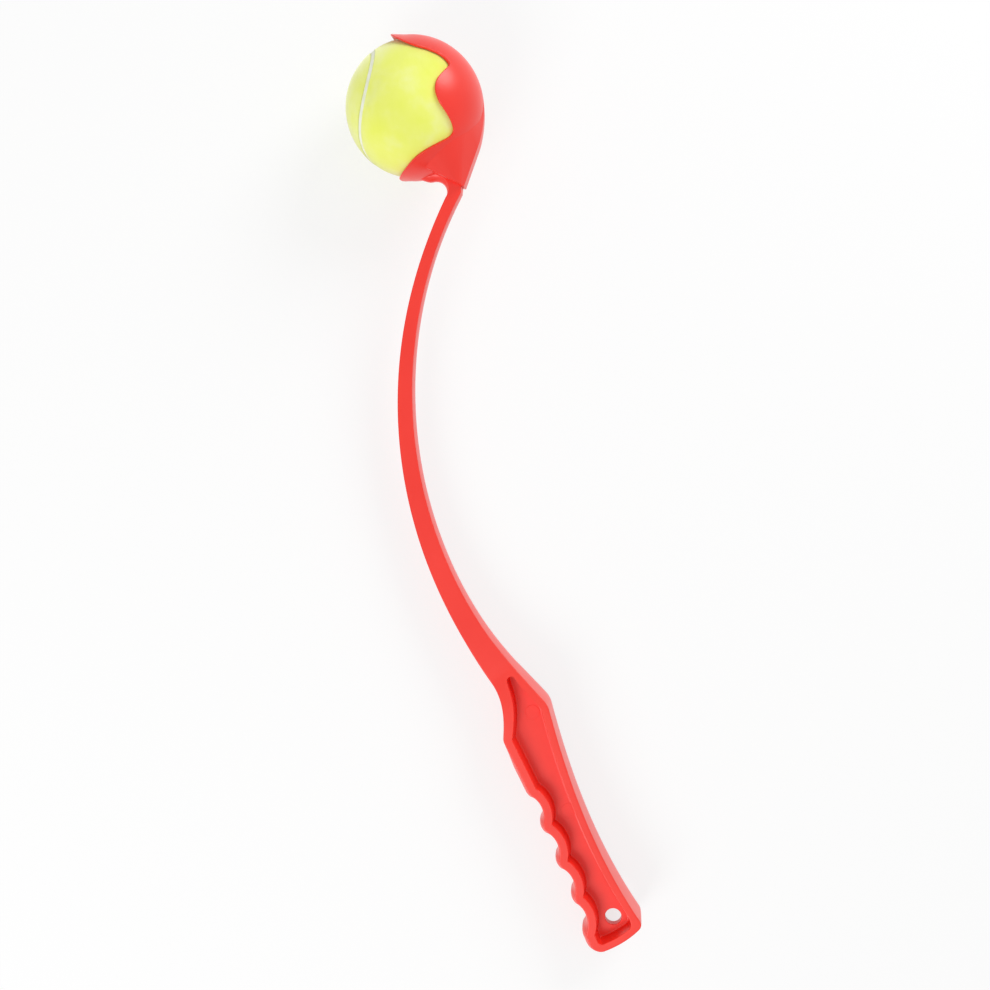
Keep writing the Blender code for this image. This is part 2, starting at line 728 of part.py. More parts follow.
def seam_shares():
    # Places along the seam, spread evenly as both panels' poles see them
    fine = 12 * SEAM_STEPS
    travelled = [0]
    for k in range(fine):
        one = seam_direction(k / fine)
        other = seam_direction((k + 1) / fine)
        spin = math.radians((heading_of(other) - heading_of(one) + 180) % 360 - 180)
        climb = math.asin(other.z) - math.asin(one.z)
        travelled.append(travelled[-1] + math.hypot(spin, climb))
    shares = []
    for k in range(fine):
        if travelled[k] >= travelled[-1] * len(shares) / SEAM_STEPS:
            shares.append(k / fine)
    return shares


def seam_side(share):
    # Across the seam, along the ball's surface, towards the first panel
    step = 1 / (8 * SEAM_STEPS)
    along = seam_direction(share + step) - seam_direction(share - step)
    return seam_direction(share).cross(along).normalized()


def seam_bead(material, parent):
    half = SEAM_WIDTH / 2
    bottom = CORE_RADIUS + BALL_GAP
    top = BALL_RADIUS - SEAM_RECESS
    profile = ((-half, bottom), (half, bottom), (half, top - half), (0, top), (-half, top - half))
    bm = bmesh.new()
    loops = []
    for share in seam_shares():
        middle = seam_direction(share)
        side = seam_side(share)
        loops.append([bm.verts.new(middle * height + side * offset) for offset, height in profile])
    for lower, upper in zip(loops, loops[1:] + loops[:1]):
        for k in range(len(profile)):
            following = (k + 1) % len(profile)
            bm.faces.new((lower[k], lower[following], upper[following], upper[k]))
    return make_object("ball_seam", bm, material, parent)


def felt_panel(name, side, material, parent):
    # One of the two alike panels; the second is the first, turned a quarter and upside down
    pole = Vector((0, 0, side))
    groove = SEAM_WIDTH / 2 + BALL_GAP
    # The flats between the rings, too, clear the core
    half_step = math.radians(FELT_REACH_ANGLE / FELT_RINGS) / 2
    bottom = (CORE_RADIUS + BALL_GAP) / math.cos(half_step)
    bm = bmesh.new()
    outer_pole = bm.verts.new(pole * BALL_RADIUS)
    inner_pole = bm.verts.new(pole * bottom)
    loops = []
    for share in seam_shares():
        edge = (seam_direction(share) * BALL_RADIUS + seam_side(share) * side * groove).normalized()
        angle = pole.angle(edge)
        spin = Matrix.Rotation(1, 3, pole.cross(edge)).to_quaternion().axis
        lead = FELT_EDGE_ROUND / BALL_RADIUS
        outside = []
        inside = []
        for ring in range(1, FELT_RINGS + 1):
            turned = pole.copy()
            turned.rotate(Matrix.Rotation((angle - lead) * ring / FELT_RINGS, 3, spin))
            outside.append(turned * BALL_RADIUS)
            inside.append(turned * bottom)
        outside.append(edge * (BALL_RADIUS - FELT_EDGE_ROUND))
        inside.append(edge * bottom)
        loops.append([bm.verts.new(point) for point in outside + inside[::-1]])
    for one, other in zip(loops, loops[1:] + loops[:1]):
        bm.faces.new((outer_pole, one[0], other[0]))
        for k in range(len(one) - 1):
            bm.faces.new((one[k], one[k + 1], other[k + 1], other[k]))
        bm.faces.new((inner_pole, other[-1], one[-1]))
    return make_object(name, bm, material, parent, 50)


def core_half(name, side, material, parent):
    # Half of the hollow rubber core, open at the bond to the other half
    bm = bmesh.new()
    inner = CORE_RADIUS - CORE_WALL
    bond = BALL_GAP / 2
    profile = []
    for radius, order in ((CORE_RADIUS, 1), (inner, -1)):
        low = math.asin(bond / radius)
        points = []
        for ring in range(CORE_RINGS):
            angle = low + (math.pi / 2 - low) * (1 - (ring + 1) / CORE_RINGS)
            points.append((radius * math.cos(angle), radius * math.sin(angle)))
        profile += points[::order]
    outer_pole = bm.verts.new((0, 0, side * CORE_RADIUS))
    inner_pole = bm.verts.new((0, 0, side * inner))
    loops = []
    for k in range(CORE_SIDES):
        turn = 2 * math.pi * k / CORE_SIDES
        loops.append([bm.verts.new((out * math.cos(turn), out * math.sin(turn), side * up))
                      for out, up in profile])
    for one, other in zip(loops, loops[1:] + loops[:1]):
        bm.faces.new((outer_pole, one[0], other[0]))
        for k in range(len(one) - 1):
            bm.faces.new((one[k], one[k + 1], other[k + 1], other[k]))
        bm.faces.new((inner_pole, other[-1], one[-1]))
    return make_object(name, bm, material, parent)


def ball(parent):
    turns = make_empty("ball_turn", parent)
    turns.rotation_euler = Euler([math.radians(angle) for angle in BALL_TURN_ANGLES])
    felt = make_material("yellow felt", (0.83, 0.93, 0.18), 0.95)
    cement = make_material("pale rubber cement", (0.85, 0.87, 0.66), 0.6)
    rubber = make_material("core rubber", (0.12, 0.12, 0.12), 0.8)
    felt_panel("felt_panel_a", 1, felt, turns)
    felt_panel("felt_panel_b", -1, felt, turns)
    seam_bead(cement, turns)
    core_half("core_half_a", 1, rubber, turns)
    core_half("core_half_b", -1, rubber, turns)


def floor_normal():
    # Upward direction of the floor on which the ball and two corners of the lower rim rest
    low = Vector((0, 0, HANDLE_THICKNESS / 2))
    corners = [point + way * width - low for point, way, width, crown in grip_places()]
    best = None
    for k in range(len(corners) - 1):
        for other in range(k + 1, len(corners)):
            normal = normal_through(corners[k], corners[other])
            if normal and all(normal.dot(corner) > -BALL_RADIUS - TINY for corner in corners):
                spread = (corners[k] - corners[other]).length
                if best is None or spread > best[0]:
                    best = (spread, normal)
    return best[1]


def normal_through(one, other):
    # Unit normal of the plane through two points that also touches the ball from below
    along = one.cross(other)
    if along.length < TINY**2:
        return None
    # In the span of the two points: dot products with both equal minus the ball's radius
    a, b, c = one.length_squared, one.dot(other), other.length_squared
    scale = a * c - b * b
    within = (one * (c - b) + other * (a - b)) * (-BALL_RADIUS / scale)
    if within.length_squared > 1:
        return None
    rise = along.normalized() * math.sqrt(1 - within.length_squared)
    return within + (rise if rise.z > 0 else -rise)


def lay_on_floor(pose):
    # Turn the pose so that the floor is level, then set the whole on it, centred
    pose.rotation_mode = "QUATERNION"
    pose.rotation_quaternion = floor_normal().rotation_difference(Vector((0, 0, 1)))
    bpy.context.view_layer.update()
    graph = bpy.context.evaluated_depsgraph_get()
    corners = []
    for item in bpy.data.objects:
        if item.type == "MESH" and not item.hide_render:
            shape = item.evaluated_get(graph)
            corners += [shape.matrix_world @ vertex.co for vertex in shape.data.vertices]
    low = [min(corner[axis] for corner in corners) for axis in range(3)]
    high = [max(corner[axis] for corner in corners) for axis in range(3)]
    pose.location = Vector((-(low[0] + high[0]) / 2, -(low[1] + high[1]) / 2, -low[2]))


def main():
    clear_scene()
    pose = make_empty("lying_pose")
    thrower_body(pose)
    ball(make_empty("ball_centre", pose))
    lay_on_floor(pose)


main()
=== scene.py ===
import json
import math

import bmesh
import bpy
from mathutils import Euler, Matrix, Vector, noise


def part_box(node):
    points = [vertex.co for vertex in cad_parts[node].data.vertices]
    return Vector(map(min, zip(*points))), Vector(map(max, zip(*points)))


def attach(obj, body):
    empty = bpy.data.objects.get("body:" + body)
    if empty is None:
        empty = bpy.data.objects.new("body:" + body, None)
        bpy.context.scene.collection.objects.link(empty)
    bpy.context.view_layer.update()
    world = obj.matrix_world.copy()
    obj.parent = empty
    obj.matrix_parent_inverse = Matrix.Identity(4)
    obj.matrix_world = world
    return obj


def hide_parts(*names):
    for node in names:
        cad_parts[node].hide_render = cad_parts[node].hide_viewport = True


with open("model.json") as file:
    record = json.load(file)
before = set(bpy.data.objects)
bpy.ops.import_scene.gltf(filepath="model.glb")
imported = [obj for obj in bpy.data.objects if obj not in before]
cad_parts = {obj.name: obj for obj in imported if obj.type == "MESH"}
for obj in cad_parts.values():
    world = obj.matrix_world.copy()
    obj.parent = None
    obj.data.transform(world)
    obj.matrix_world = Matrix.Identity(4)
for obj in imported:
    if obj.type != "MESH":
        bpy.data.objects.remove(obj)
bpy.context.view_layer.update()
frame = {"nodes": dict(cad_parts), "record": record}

print("frame loaded")

# Lengths are metres and angles are degrees. The thrower is drawn flat: the ball's centre is
# the origin, +Y runs from the handle to the cup, -X out of the cup's mouth, Z is its thickness.

ballSizes = {
    "radius": 0.0325,
    "felt": 0.0026,  # thickness of the panels
    "edgeRound": 0.0005,  # roll of a panel's edge into the seam
    "seam": 0.0023,  # width of the cement between the panels
    "seamRecess": 0.0002,
    "seamCrown": 0.25,  # how round the cement stands, as a share of half its width
    "seamMinor": 0.21,  # how far the seam's line sways
    "gap": 0.0001,
    "turn": (-30.9, -22.2, -41.4),
    "napHeight": 0.00006,  # how rough the brushed wool stands
    # Tufts, clumps and fibres: how fine they are, their share of the height, and a shift
    "napLayers": ((380, 0.6, (0, 0, 0)), (1100, 1, (5, 3, 1)), (2300, 0.7, (1, 9, 4))),
    "napSink": 1.2,  # the wool's rest below the ball's size, as a share of its height
    "backLift": 5.0,  # angle that lifts a panel's flat-sided back clear of the round core
    "sagScale": 9,  # how often the cement rises and sinks along the seam
    "seamSteps": 288,
    "feltRings": 64,
    "edgeSteps": 6,
    "backRings": 10,
    "crownSteps": 8,
}

cupSizes = {
    "clearance": 0.0003,
    "wall": 0.0012,
    "lobeWall": 0.0009,
    "mouth": 182.0,  # heading of the way out
    # The rim down the front, from the upper lobe's tip to the lower one's: the turn about the
    # mouth's axis, and the angle between that axis and the rim
    "rim": ((-90, 76), (-75, 76.5), (-62, 79.5), (-52, 88), (-45.5, 98.5), (-43, 110.5),
            (-40, 121.5), (-33, 128), (-23, 124), (-12, 117.8), (-2, 116.2), (8, 119),
            (17, 124), (27, 128.3), (37, 129.8), (42.6, 126), (45, 115), (48.5, 104),
            (54.5, 94.5), (64, 86.5), (76, 80), (90, 76.5)),
    "outerRound": 0.0004,
    "innerRound": 0.0002,
    "outerSteps": 4,
    "innerSteps": 3,
    "columns": 210,
    "rows": 36,
}

armSizes = {
    "neckReach": 0.0448,
    "neckHeading": -62.2,
    "heading": -118.0,
    "radius": 0.2114,
    "sweep": 67.0,
    "widths": ((0.0, 0.0060), (0.14, 0.0060), (0.35, 0.0072), (0.72, 0.0096), (0.9, 0.0114),
               (1.0, 0.0137)),
    "thicknesses": ((0.0, 0.0090), (0.4, 0.0110), (0.8, 0.0140), (1.0, 0.0175)),
    "crown": 0.0002,  # bulge of the side walls
    "neckFillet": 0.0056,
    "neckPad": 0.0022,  # how far the fillet stands out from the cup
    "neckInner": -30.0,  # heading of the stations' far ends
    "apron": 12.0,  # how far round the lobe the fillet thins out
    "apronSteps": 6,
    "backLine": -20.0,
    "backBlend": 8.0,
    "blendEnd": 0.25,
    "gussetStep": 0.0005,
    "gussetSink": 0.0004,
    "gussetHeading": -48.0,
    "gussetRing": 36.0,
    "creaseReach": 0.0246,
    "creaseHeading": 156.0,
    "neckBulge": 0.0030,
    "stations": 80,
    "fan": 20,
    "gussetSides": 60,
    "gussetCornerSteps": 3,
}

handleSizes = {
    "heading": -66.5,
    "thickness": 0.0220,
    "thickening": 0.0260,
    "rim": 0.0043,
    "shoulderRim": 0.0066,
    "backRim": 0.0036,
    "bottomRim": 0.0036,
    "thumbCrown": 0.0008,
    "gripCrown": 0.0021,
    "hollowCrown": 0.0007,
    "shoulderCurve": 0.0100,
    "shoulderEnd": -92.5,
    "thumb": (0.0076, 0.0315),  # across and along
    "backCorner": (0.0151, 0.0222),
    "backCornerRound": 0.0030,
    "backHollow": (0.0061, 0.0080),
    "fingerLine": 0.0063,
    "fingerStart": 0.0577,
    "fingerPitch": 0.0191,
    "fingers": 4,
    "fingerHollow": 0.0030,
    "heelKick": 0.0022,
    "heelDrop": 0.0037,
    "heelRound": 0.0019,
    "toe": (0.0149, 0.1385),
    "toeRound": 0.0030,
    "bottomCurve": 0.0052,
    "web": 0.0050,
    "pocketTop": (0.0032, 0.0050),
    "pocketTopRound": 0.0023,
    "pocketCorner": 0.0050,
    "draft": 0.0006,
    "fillet": 0.0009,
    "hole": 0.0080,
    "holePlace": (0.0021, 0.1317),
    "pinMark": 0.0070,  # the moulding tool's ejector pins leave two round marks on the web
    "pinMarkHeight": 0.00014,
    "pinMarkShoulder": 0.4,  # share of the height below the slanted edge
    "pinMarks": ((0.0057, 0.0239), (0.0029, 0.0751)),
    "shoulderStations": 24,
    "turnSteps": 8,
    "thumbSteps": 4,
    "knuckleSteps": 10,
    "hollowSteps": 20,
    "heelSteps": 12,
    "toeSteps": 10,
    "bottomStations": 12,
    "pocketBackSteps": 70,
    "pocketBottomSteps": 10,
    "pocketBottomShare": 0.70,
    "pocketToeSteps": 14,
    "filletSteps": 6,
    "foldReach": 8,  # how many points of an inset outline may fold over at a tight corner
}

edgeRound = {
    "outside": 0.0006,
    "pocket": 0.0004,
    "steps": 4,
    "wallShares": (0.88, 0.7, 0.5, 0.25, 0),  # rows of a side wall, from its corner to its middle
    "lipTurn": 72.0,  # a cutter leaves the rounded lip at this angle
    "lipReach": 2.2,  # and flares past it, in rounds of the lip
    "lipClear": 3.0,
    "lipRise": 0.25,
    "lipTop": 2.0,
}
sharpAngles = {"plain": 35, "thrower": 32, "level": 30, "gusset": 25, "felt": 70, "seam": 60}
levelShare = 0.99999  # a face counts as level when its normal is this upright
overrun = 0.0010
tiny = 0.000001

coreRadius = ballSizes["radius"] - ballSizes["felt"]
cupInside = ballSizes["radius"] + cupSizes["clearance"]
cupOutside = cupInside + cupSizes["wall"]


def lyingPose():
    # From the flat drawing to the way the thrower lies on the floor, as the frame has it
    mounts = {mount["name"]: mount for mount in frame["record"]["mounts"]}
    face = Vector(mounts["web_front"]["axis"])
    floor = Vector((-face.x, -face.y, face.z)).normalized()
    turn = floor.rotation_difference(Vector((0, 0, 1))).to_matrix().to_4x4()
    corners = [corner for name in ("felt_panel_a", "felt_panel_b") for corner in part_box(name)]
    middle = [(min(c[axis] for c in corners) + max(c[axis] for c in corners)) / 2 for axis in (0, 1)]
    return Matrix.Translation((*middle, ballSizes["radius"])) @ turn, floor


pose, floorWay = lyingPose()


# Small tools for the drawing

def heading(angle):
    return Vector((math.cos(math.radians(angle)), math.sin(math.radians(angle)), 0))


def headingOf(way):
    return math.degrees(math.atan2(way.y, way.x))


def turnedLeft(way):
    return Vector((-way.y, way.x, 0))


def bezier(points, share):
    while len(points) > 1:
        points = [a.lerp(b, share) if isinstance(a, Vector) else a + (b - a) * share
                  for a, b in zip(points, points[1:])]
    return points[0]


def splineBetween(stops, share):
    slopes = []
    for k in range(len(stops)):
        before, after = stops[max(k - 1, 0)], stops[min(k + 1, len(stops) - 1)]
        slopes.append((after[1] - before[1]) / (after[0] - before[0]))
    for k, ((start, low), (end, high)) in enumerate(zip(stops, stops[1:])):
        if share <= end:
            part = (share - start) / (end - start)
            rise = slopes[k] * part * (1 - part)**2 - slopes[k + 1] * part**2 * (1 - part)
            level = low * (1 + 2 * part) * (1 - part)**2 + high * part**2 * (3 - 2 * part)
            return level + rise * (end - start)
    return stops[-1][1]


def straightBetween(stops, place):
    for (start, low), (end, high) in zip(stops, stops[1:]):
        if place <= end:
            return low + (high - low) * (place - start) / (end - start)
    return stops[-1][1]


def turnBetween(start, end, count):
    first = headingOf(start)
    swing = (headingOf(end) - first + 180) % 360 - 180
    return [heading(first + swing * k / count) for k in range(1, count)]


def meetingPoint(start, way, other, otherWay):
    gap = other - start
    spread = way.x * otherWay.y - way.y * otherWay.x
    return start + way * ((gap.x * otherWay.y - gap.y * otherWay.x) / spread)


def newObject(name, bm, sharp=sharpAngles["plain"]):
    bmesh.ops.remove_doubles(bm, verts=bm.verts, dist=tiny)
    bmesh.ops.dissolve_degenerate(bm, edges=bm.edges, dist=tiny)
    bmesh.ops.recalc_face_normals(bm, faces=bm.faces)
    mesh = bpy.data.meshes.new(name)
    bm.to_mesh(mesh)
    bm.free()
    mesh.shade_smooth()
    mesh.set_sharp_from_angle(angle=math.radians(sharp))
    item = bpy.data.objects.new(name, mesh)
    bpy.context.collection.objects.link(item)
    return item


def loft(rings, cap=True):
    bm = bmesh.new()
    loops = [[bm.verts.new(point) for point in ring] for ring in rings]
    for lower, upper in zip(loops, loops[1:]):
        for k in range(len(lower)):
            following = (k + 1) % len(lower)
            bm.faces.new((lower[k], lower[following], upper[following], upper[k]))
    if cap:
        bm.faces.new(loops[0])
        bm.faces.new(loops[-1])
    return bm, loops


def combine(target, other, operation):
    step = target.modifiers.new(other.name, "BOOLEAN")
    step.operation = operation
    step.solver = "EXACT"
    step.object = other
    other.hide_render = True


# The arm and the handle are drawn as pairs of edge points

def station(left, leftOut, right, rightOut, half, leftCrown=armSizes["crown"]):
    return {"left": left, "leftOut": leftOut, "right": right, "rightOut": rightOut, "half": half,
            "leftCrown": leftCrown}


def armCentre(share):
    a = armSizes
    pivot = heading(a["neckHeading"]) * a["neckReach"] + turnedLeft(heading(a["heading"])) * a["radius"]
    return pivot - turnedLeft(heading(a["heading"] + a["sweep"] * share)) * a["radius"]


def armStation(share):
    out = turnedLeft(heading(armSizes["heading"] + armSizes["sweep"] * share))
    face = out * (splineBetween(armSizes["widths"], share) / 2 - armSizes["crown"])
    half = splineBetween(armSizes["thicknesses"], share) / 2
    return station(armCentre(share) - face, -out, armCentre(share) + face, out, half)


def backBlend(armPoint, lift):
    # The back's line, straight up from the arm and then round onto the cup
    a = armSizes
    out = heading(a["backLine"])
    turn = math.cos(math.radians(a["backBlend"] - a["backLine"]))
    radius = (armPoint.dot(out) - cupOutside * turn) / (1 - turn)
    centre = heading(a["backBlend"]) * (cupOutside - radius)
    places = [(armPoint + out * lift, out)]
    for k in range(a["fan"]):
        part = k / (a["fan"] - 1)
        way = heading(a["backLine"] + (a["backBlend"] - a["backLine"]) * part)
        places.append((centre + way * (radius + lift * (1 - part)), way))
    return places


def blendHalf(index, start):
    return start * (1 - (1 - armSizes["blendEnd"]) * index / armSizes["fan"])


def neckStations():
    # The fillet from the arm to the cup. The stations' far ends lie in the room cut for the ball.
    a = armSizes
    neck = armStation(0)
    down = heading(a["heading"])
    start = neck["left"] + neck["leftOut"] * a["neckFillet"]
    reach = cupOutside + a["neckPad"] + a["neckFillet"]
    slide = math.sqrt(start.dot(down)**2 - start.length_squared + reach**2) - start.dot(down)
    centre = start + down * slide
    first, last = a["heading"] + 90, headingOf(-centre)
    back = heading(a["backLine"])
    hidden = heading(a["neckInner"]) * coreRadius
    stations = []
    for k in range(a["fan"] + 1):
        out = heading(first + (last - first) * k / a["fan"])
        bulge = (a["neckBulge"] - a["crown"]) * k / a["fan"]
        stations.append(station(centre + out * (a["neckFillet"] + bulge), -out,
                                neck["right"].lerp(hidden, k / a["fan"]), back, neck["half"],
                                a["crown"] + bulge))
    for k in range(1, a["apronSteps"] + 1):
        # From the fillet the neck thins out along the lower lobe
        part = k / a["apronSteps"]
        way = heading(headingOf(centre) - a["apron"] * part)
        pad = a["neckPad"] - (a["neckPad"] + a["gussetSink"]) * part**2 * (3 - 2 * part)
        stations.append(station(way * (cupOutside + pad - bulge), way, hidden, back, neck["half"],
                                a["crown"] + bulge))
    inside = dict(stations[-1])
    inside["left"] = inside["left"] * (cupInside / cupOutside)
    inside["right"] = inside["right"] * (cupInside / cupOutside)
    stations.append(inside)
    return stations[::-1], slide / (a["radius"] * math.radians(a["sweep"]))


def handlePoint(across, along):
    down = heading(handleSizes["heading"])
    return armCentre(1) + turnedLeft(down) * across + down * along


def handlePlace(point):
    down = heading(handleSizes["heading"])
    offset = point - armCentre(1)
    return offset.dot(turnedLeft(down)), offset.dot(down)


def backAcross(along):
    h = handleSizes
    across, cornerAlong = h["backCorner"]
    startAcross, startAlong = handlePlace(armStation(1)["right"])
    slope = (across - startAcross) / (cornerAlong - startAlong)
    curve = (across, across - h["backHollow"][0], h["toe"][0] - h["backHollow"][1], h["toe"][0])
    low, high = cornerAlong - h["backCornerRound"], cornerAlong + h["backCornerRound"]
    length = h["toe"][1] - cornerAlong
    before = startAcross + slope * (low - startAlong)
    if along <= low:
        return before + slope * (along - low)
    if along >= high:
        return bezier(curve, (along - cornerAlong) / length)
    after = bezier(curve, h["backCornerRound"] / length)
    return bezier((before, across, after), (along - low) / (high - low))


def backPlace(along):
    step = handleSizes["backCornerRound"] / 10
    before, after = (handlePoint(backAcross(near), near) for near in (along - step, along + step))
    return handlePoint(backAcross(along), along), turnedLeft((after - before).normalized())


def knuckle(index):
    h = handleSizes
    kick = h["heelKick"] if index == h["fingers"] else 0
    return handlePoint(-h["fingerLine"] - kick, h["fingerStart"] + h["fingerPitch"] * index)


def hollow(upper, lower):
    depth, steps = handleSizes["fingerHollow"], handleSizes["hollowSteps"]
    chord = lower - upper
    down = chord.normalized()
    out = -turnedLeft(down)
    radius = (chord.length_squared / 4 + depth**2) / (depth * 2)
    halfAngle = math.asin(chord.length / 2 / radius)
    centre = (upper + lower) / 2 + out * (radius - depth)
    places = []
    for k in range(steps + 1):
        angle = halfAngle * (1 - 2 * k / steps)
        way = out * math.cos(angle) + down * math.sin(angle)
        places.append((centre - way * radius, way))
    return places


def gripPlaces():
    # The rim's inner edge on the grip side, with the way out, the rim's width and the wall's bulge
    h = handleSizes
    crown = armSizes["crown"]
    start = armStation(1)["left"]
    thumb = handlePoint(-h["thumb"][0], h["thumb"][1])
    endOut = -turnedLeft(heading(h["shoulderEnd"]))
    corner = thumb + endOut * h["rim"]
    curve = (start, start + heading(armSizes["heading"] + armSizes["sweep"]) * h["shoulderCurve"],
             corner - heading(h["shoulderEnd"]) * h["shoulderCurve"], corner)
    count = h["shoulderStations"]
    edge = [bezier(curve, k / count) for k in range(count + 1)]
    places = []
    for k in range(1, count):
        out = -turnedLeft((edge[k + 1] - edge[k - 1]).normalized())
        width = h["shoulderRim"] + (h["rim"] - h["shoulderRim"]) * k / count
        places.append((edge[k] - out * width, out, width, crown + (h["thumbCrown"] - crown) * k / count))
    places.append((thumb, endOut, h["rim"], h["thumbCrown"]))
    lineOut = -turnedLeft((knuckle(0) - thumb).normalized())
    for way in turnBetween(endOut, lineOut, h["turnSteps"]):
        places.append((thumb, way, h["rim"], h["thumbCrown"]))
    for k in range(h["thumbSteps"] + 1):
        part = k / h["thumbSteps"]
        bulge = h["thumbCrown"] + (h["gripCrown"] - h["thumbCrown"]) * min(part * 2, 1)
        places.append((thumb.lerp(knuckle(0), part), lineOut, h["rim"], bulge))
    for finger in range(h["fingers"]):
        arc = hollow(knuckle(finger), knuckle(finger + 1))
        for way in turnBetween(places[-1][1], arc[0][1], h["knuckleSteps"]):
            places.append((arc[0][0], way, h["rim"], h["gripCrown"]))
        for k, (point, way) in enumerate(arc):
            offMiddle = abs(2 * k / h["hollowSteps"] - 1)
            bulge = h["hollowCrown"] + (h["gripCrown"] - h["hollowCrown"]) * offMiddle**2
            places.append((point, way, h["rim"], bulge))
    across = turnedLeft(heading(h["heading"]))
    heel = places[-1][0]
    for way in turnBetween(places[-1][1], -across, h["turnSteps"]):
        places.append((heel, way, h["rim"], h["gripCrown"]))
    places.append((heel, -across, h["rim"], h["gripCrown"]))
    centre = heel + across * h["heelRound"] + heading(h["heading"]) * h["heelDrop"]
    for k in range(h["heelSteps"] + 1):
        part = k / h["heelSteps"]
        way = heading(headingOf(-across) + 90 * part)
        width = h["rim"] + (h["bottomRim"] - h["rim"]) * part
        places.append((centre + way * h["heelRound"], way, width,
                       h["gripCrown"] + (crown - h["gripCrown"]) * part**2))
    return places


grip = gripPlaces()


def bottomPlace(share):
    point, way, width, crown = grip[-1]
    start = point + way * width
    curve = (start, handlePoint(handleSizes["bottomCurve"], handlePlace(start)[1]),
             handlePoint(*handleSizes["toe"]))
    tangent = (curve[1] - curve[0]) * (1 - share) + (curve[2] - curve[1]) * share
    return bezier(curve, share), -turnedLeft(tangent.normalized())


def toePlace(part, bottomShare):
    # Round the toe, from the back to a place on the bottom
    h = handleSizes
    back, backOut = backPlace(h["toe"][1] - h["toeRound"])
    bottom, bottomOut = bottomPlace(bottomShare)
    first = headingOf(backOut)
    swing = (headingOf(bottomOut) - first + 180) % 360 - 180
    return bezier((back, handlePoint(*h["toe"]), bottom), part), heading(first + swing * part)


def bottomStations():
    # From the heel and the back on to the bottom's middle
    h = handleSizes
    toeShare = 1 - h["toeRound"] / (handlePoint(*h["toe"]) - bottomPlace(0)[0]).length
    count = h["toeSteps"] + h["bottomStations"]
    stations = []
    for k in range(count):
        leftShare = k / (2 * count)
        if k < h["toeSteps"]:
            right = toePlace((k + 1) / h["toeSteps"], toeShare)
        else:
            part = (k + 1 - h["toeSteps"]) / h["bottomStations"]
            right = bottomPlace(toeShare + (leftShare + 1 / (2 * count) - toeShare) * part)
        stations.append(station(*bottomPlace(leftShare), *right, h["thickness"] / 2))
    return stations


def handleStations():
    h = handleSizes
    end = armStation(1)
    firstLeft, firstRight = handlePlace(end["left"])[1], handlePlace(end["right"])[1]
    heelAlong = handlePlace(knuckle(h["fingers"]))[1]
    point, way, width, crown = grip[-1]
    stops = ((firstLeft, firstRight), (h["thumb"][1], h["thumb"][1]), (heelAlong, heelAlong),
             (handlePlace(point + way * width)[1], h["toe"][1] - h["toeRound"]))
    shoulder = armSizes["thicknesses"][-1][1]
    stations = []
    for point, way, width, crown in grip:
        left = point + way * width
        along = handlePlace(left)[1]
        grown = min((along - firstLeft) / h["thickening"], 1)
        half = (shoulder + (h["thickness"] - shoulder) * grown * (2 - grown)) / 2
        stations.append(station(left, way, *backPlace(straightBetween(stops, along)), half, crown))
    return stations + bottomStations()


def stationRing(item):
    # Rounded corners at both faces, and the wall's bulge between them
    steps = edgeRound["steps"]
    ring = []
    for side, crown in (("left", item["leftCrown"]), ("right", armSizes["crown"])):
        corner = min(edgeRound["outside"], item["half"] / 3)
        wall = item["half"] - corner
        rows = []
        for k in range(steps + 1):
            turn = math.pi / 2 * k / steps
            rows.append((corner * (math.sin(turn) - 1), wall + corner * math.cos(turn)))
        for share in edgeRound["wallShares"]:
            rows.append((crown * (1 - share**3), wall * share))
        rows += [(out, -up) for out, up in rows[-2::-1]]
        line = [item[side] + item[side + "Out"] * out + Vector((0, 0, up)) for out, up in rows]
        ring += line if side == "left" else line[::-1]
    return ring


def bodyLoft():
    fan, armStart = neckStations()
    count = armSizes["stations"]
    stations = fan + [armStation(armStart + (1 - armStart) * k / count) for k in range(1, count + 1)]
    bm, loops = loft([stationRing(item) for item in stations + handleStations()], cap=False)
    bm.faces.new(loops[0])
    last = loops[-1]
    for k in range(len(last) // 2 - 1):  # the bottom's middle is closed by a strip
        bm.faces.new((last[k], last[k + 1], last[-2 - k], last[-1 - k]))
    return newObject("bodyLoft", bm)


# The pockets, the hole and the pin marks in the handle

def inset(outline, distance):
    area = sum(a.x * b.y - a.y * b.x for a, b in zip(outline, outline[1:] + outline[:1]))
    side = math.copysign(1, area)
    moved = []
    for k, point in enumerate(outline):
        before = (point - outline[k - 1]).normalized()
        after = (outline[(k + 1) % len(outline)] - point).normalized()
        inwards = turnedLeft(before) + turnedLeft(after)
        moved.append(point + inwards * (side * distance * 2 / inwards.length_squared))
    return unfold(moved)


def crossing(a, b, c, d):
    one, other, gap = b - a, d - c, c - a
    spread = one.x * other.y - one.y * other.x
    if abs(spread) < tiny**2:
        return None
    part = (gap.x * other.y - gap.y * other.x) / spread
    otherPart = (gap.x * one.y - gap.y * one.x) / spread
    return a + one * part if 0 < part < 1 and 0 < otherPart < 1 else None


def unfold(line):
    # Where a few points of a moved outline fold over, they are drawn together at the crossing
    count = len(line)
    for k in range(count):
        for ahead in range(handleSizes["foldReach"], 1, -1):
            meet = crossing(*[line[(k + step) % count] for step in (0, 1, ahead, ahead + 1)])
            if meet is not None:
                for step in range(1, ahead + 1):
                    line[(k + step) % count] = meet.copy()
                break
    return line


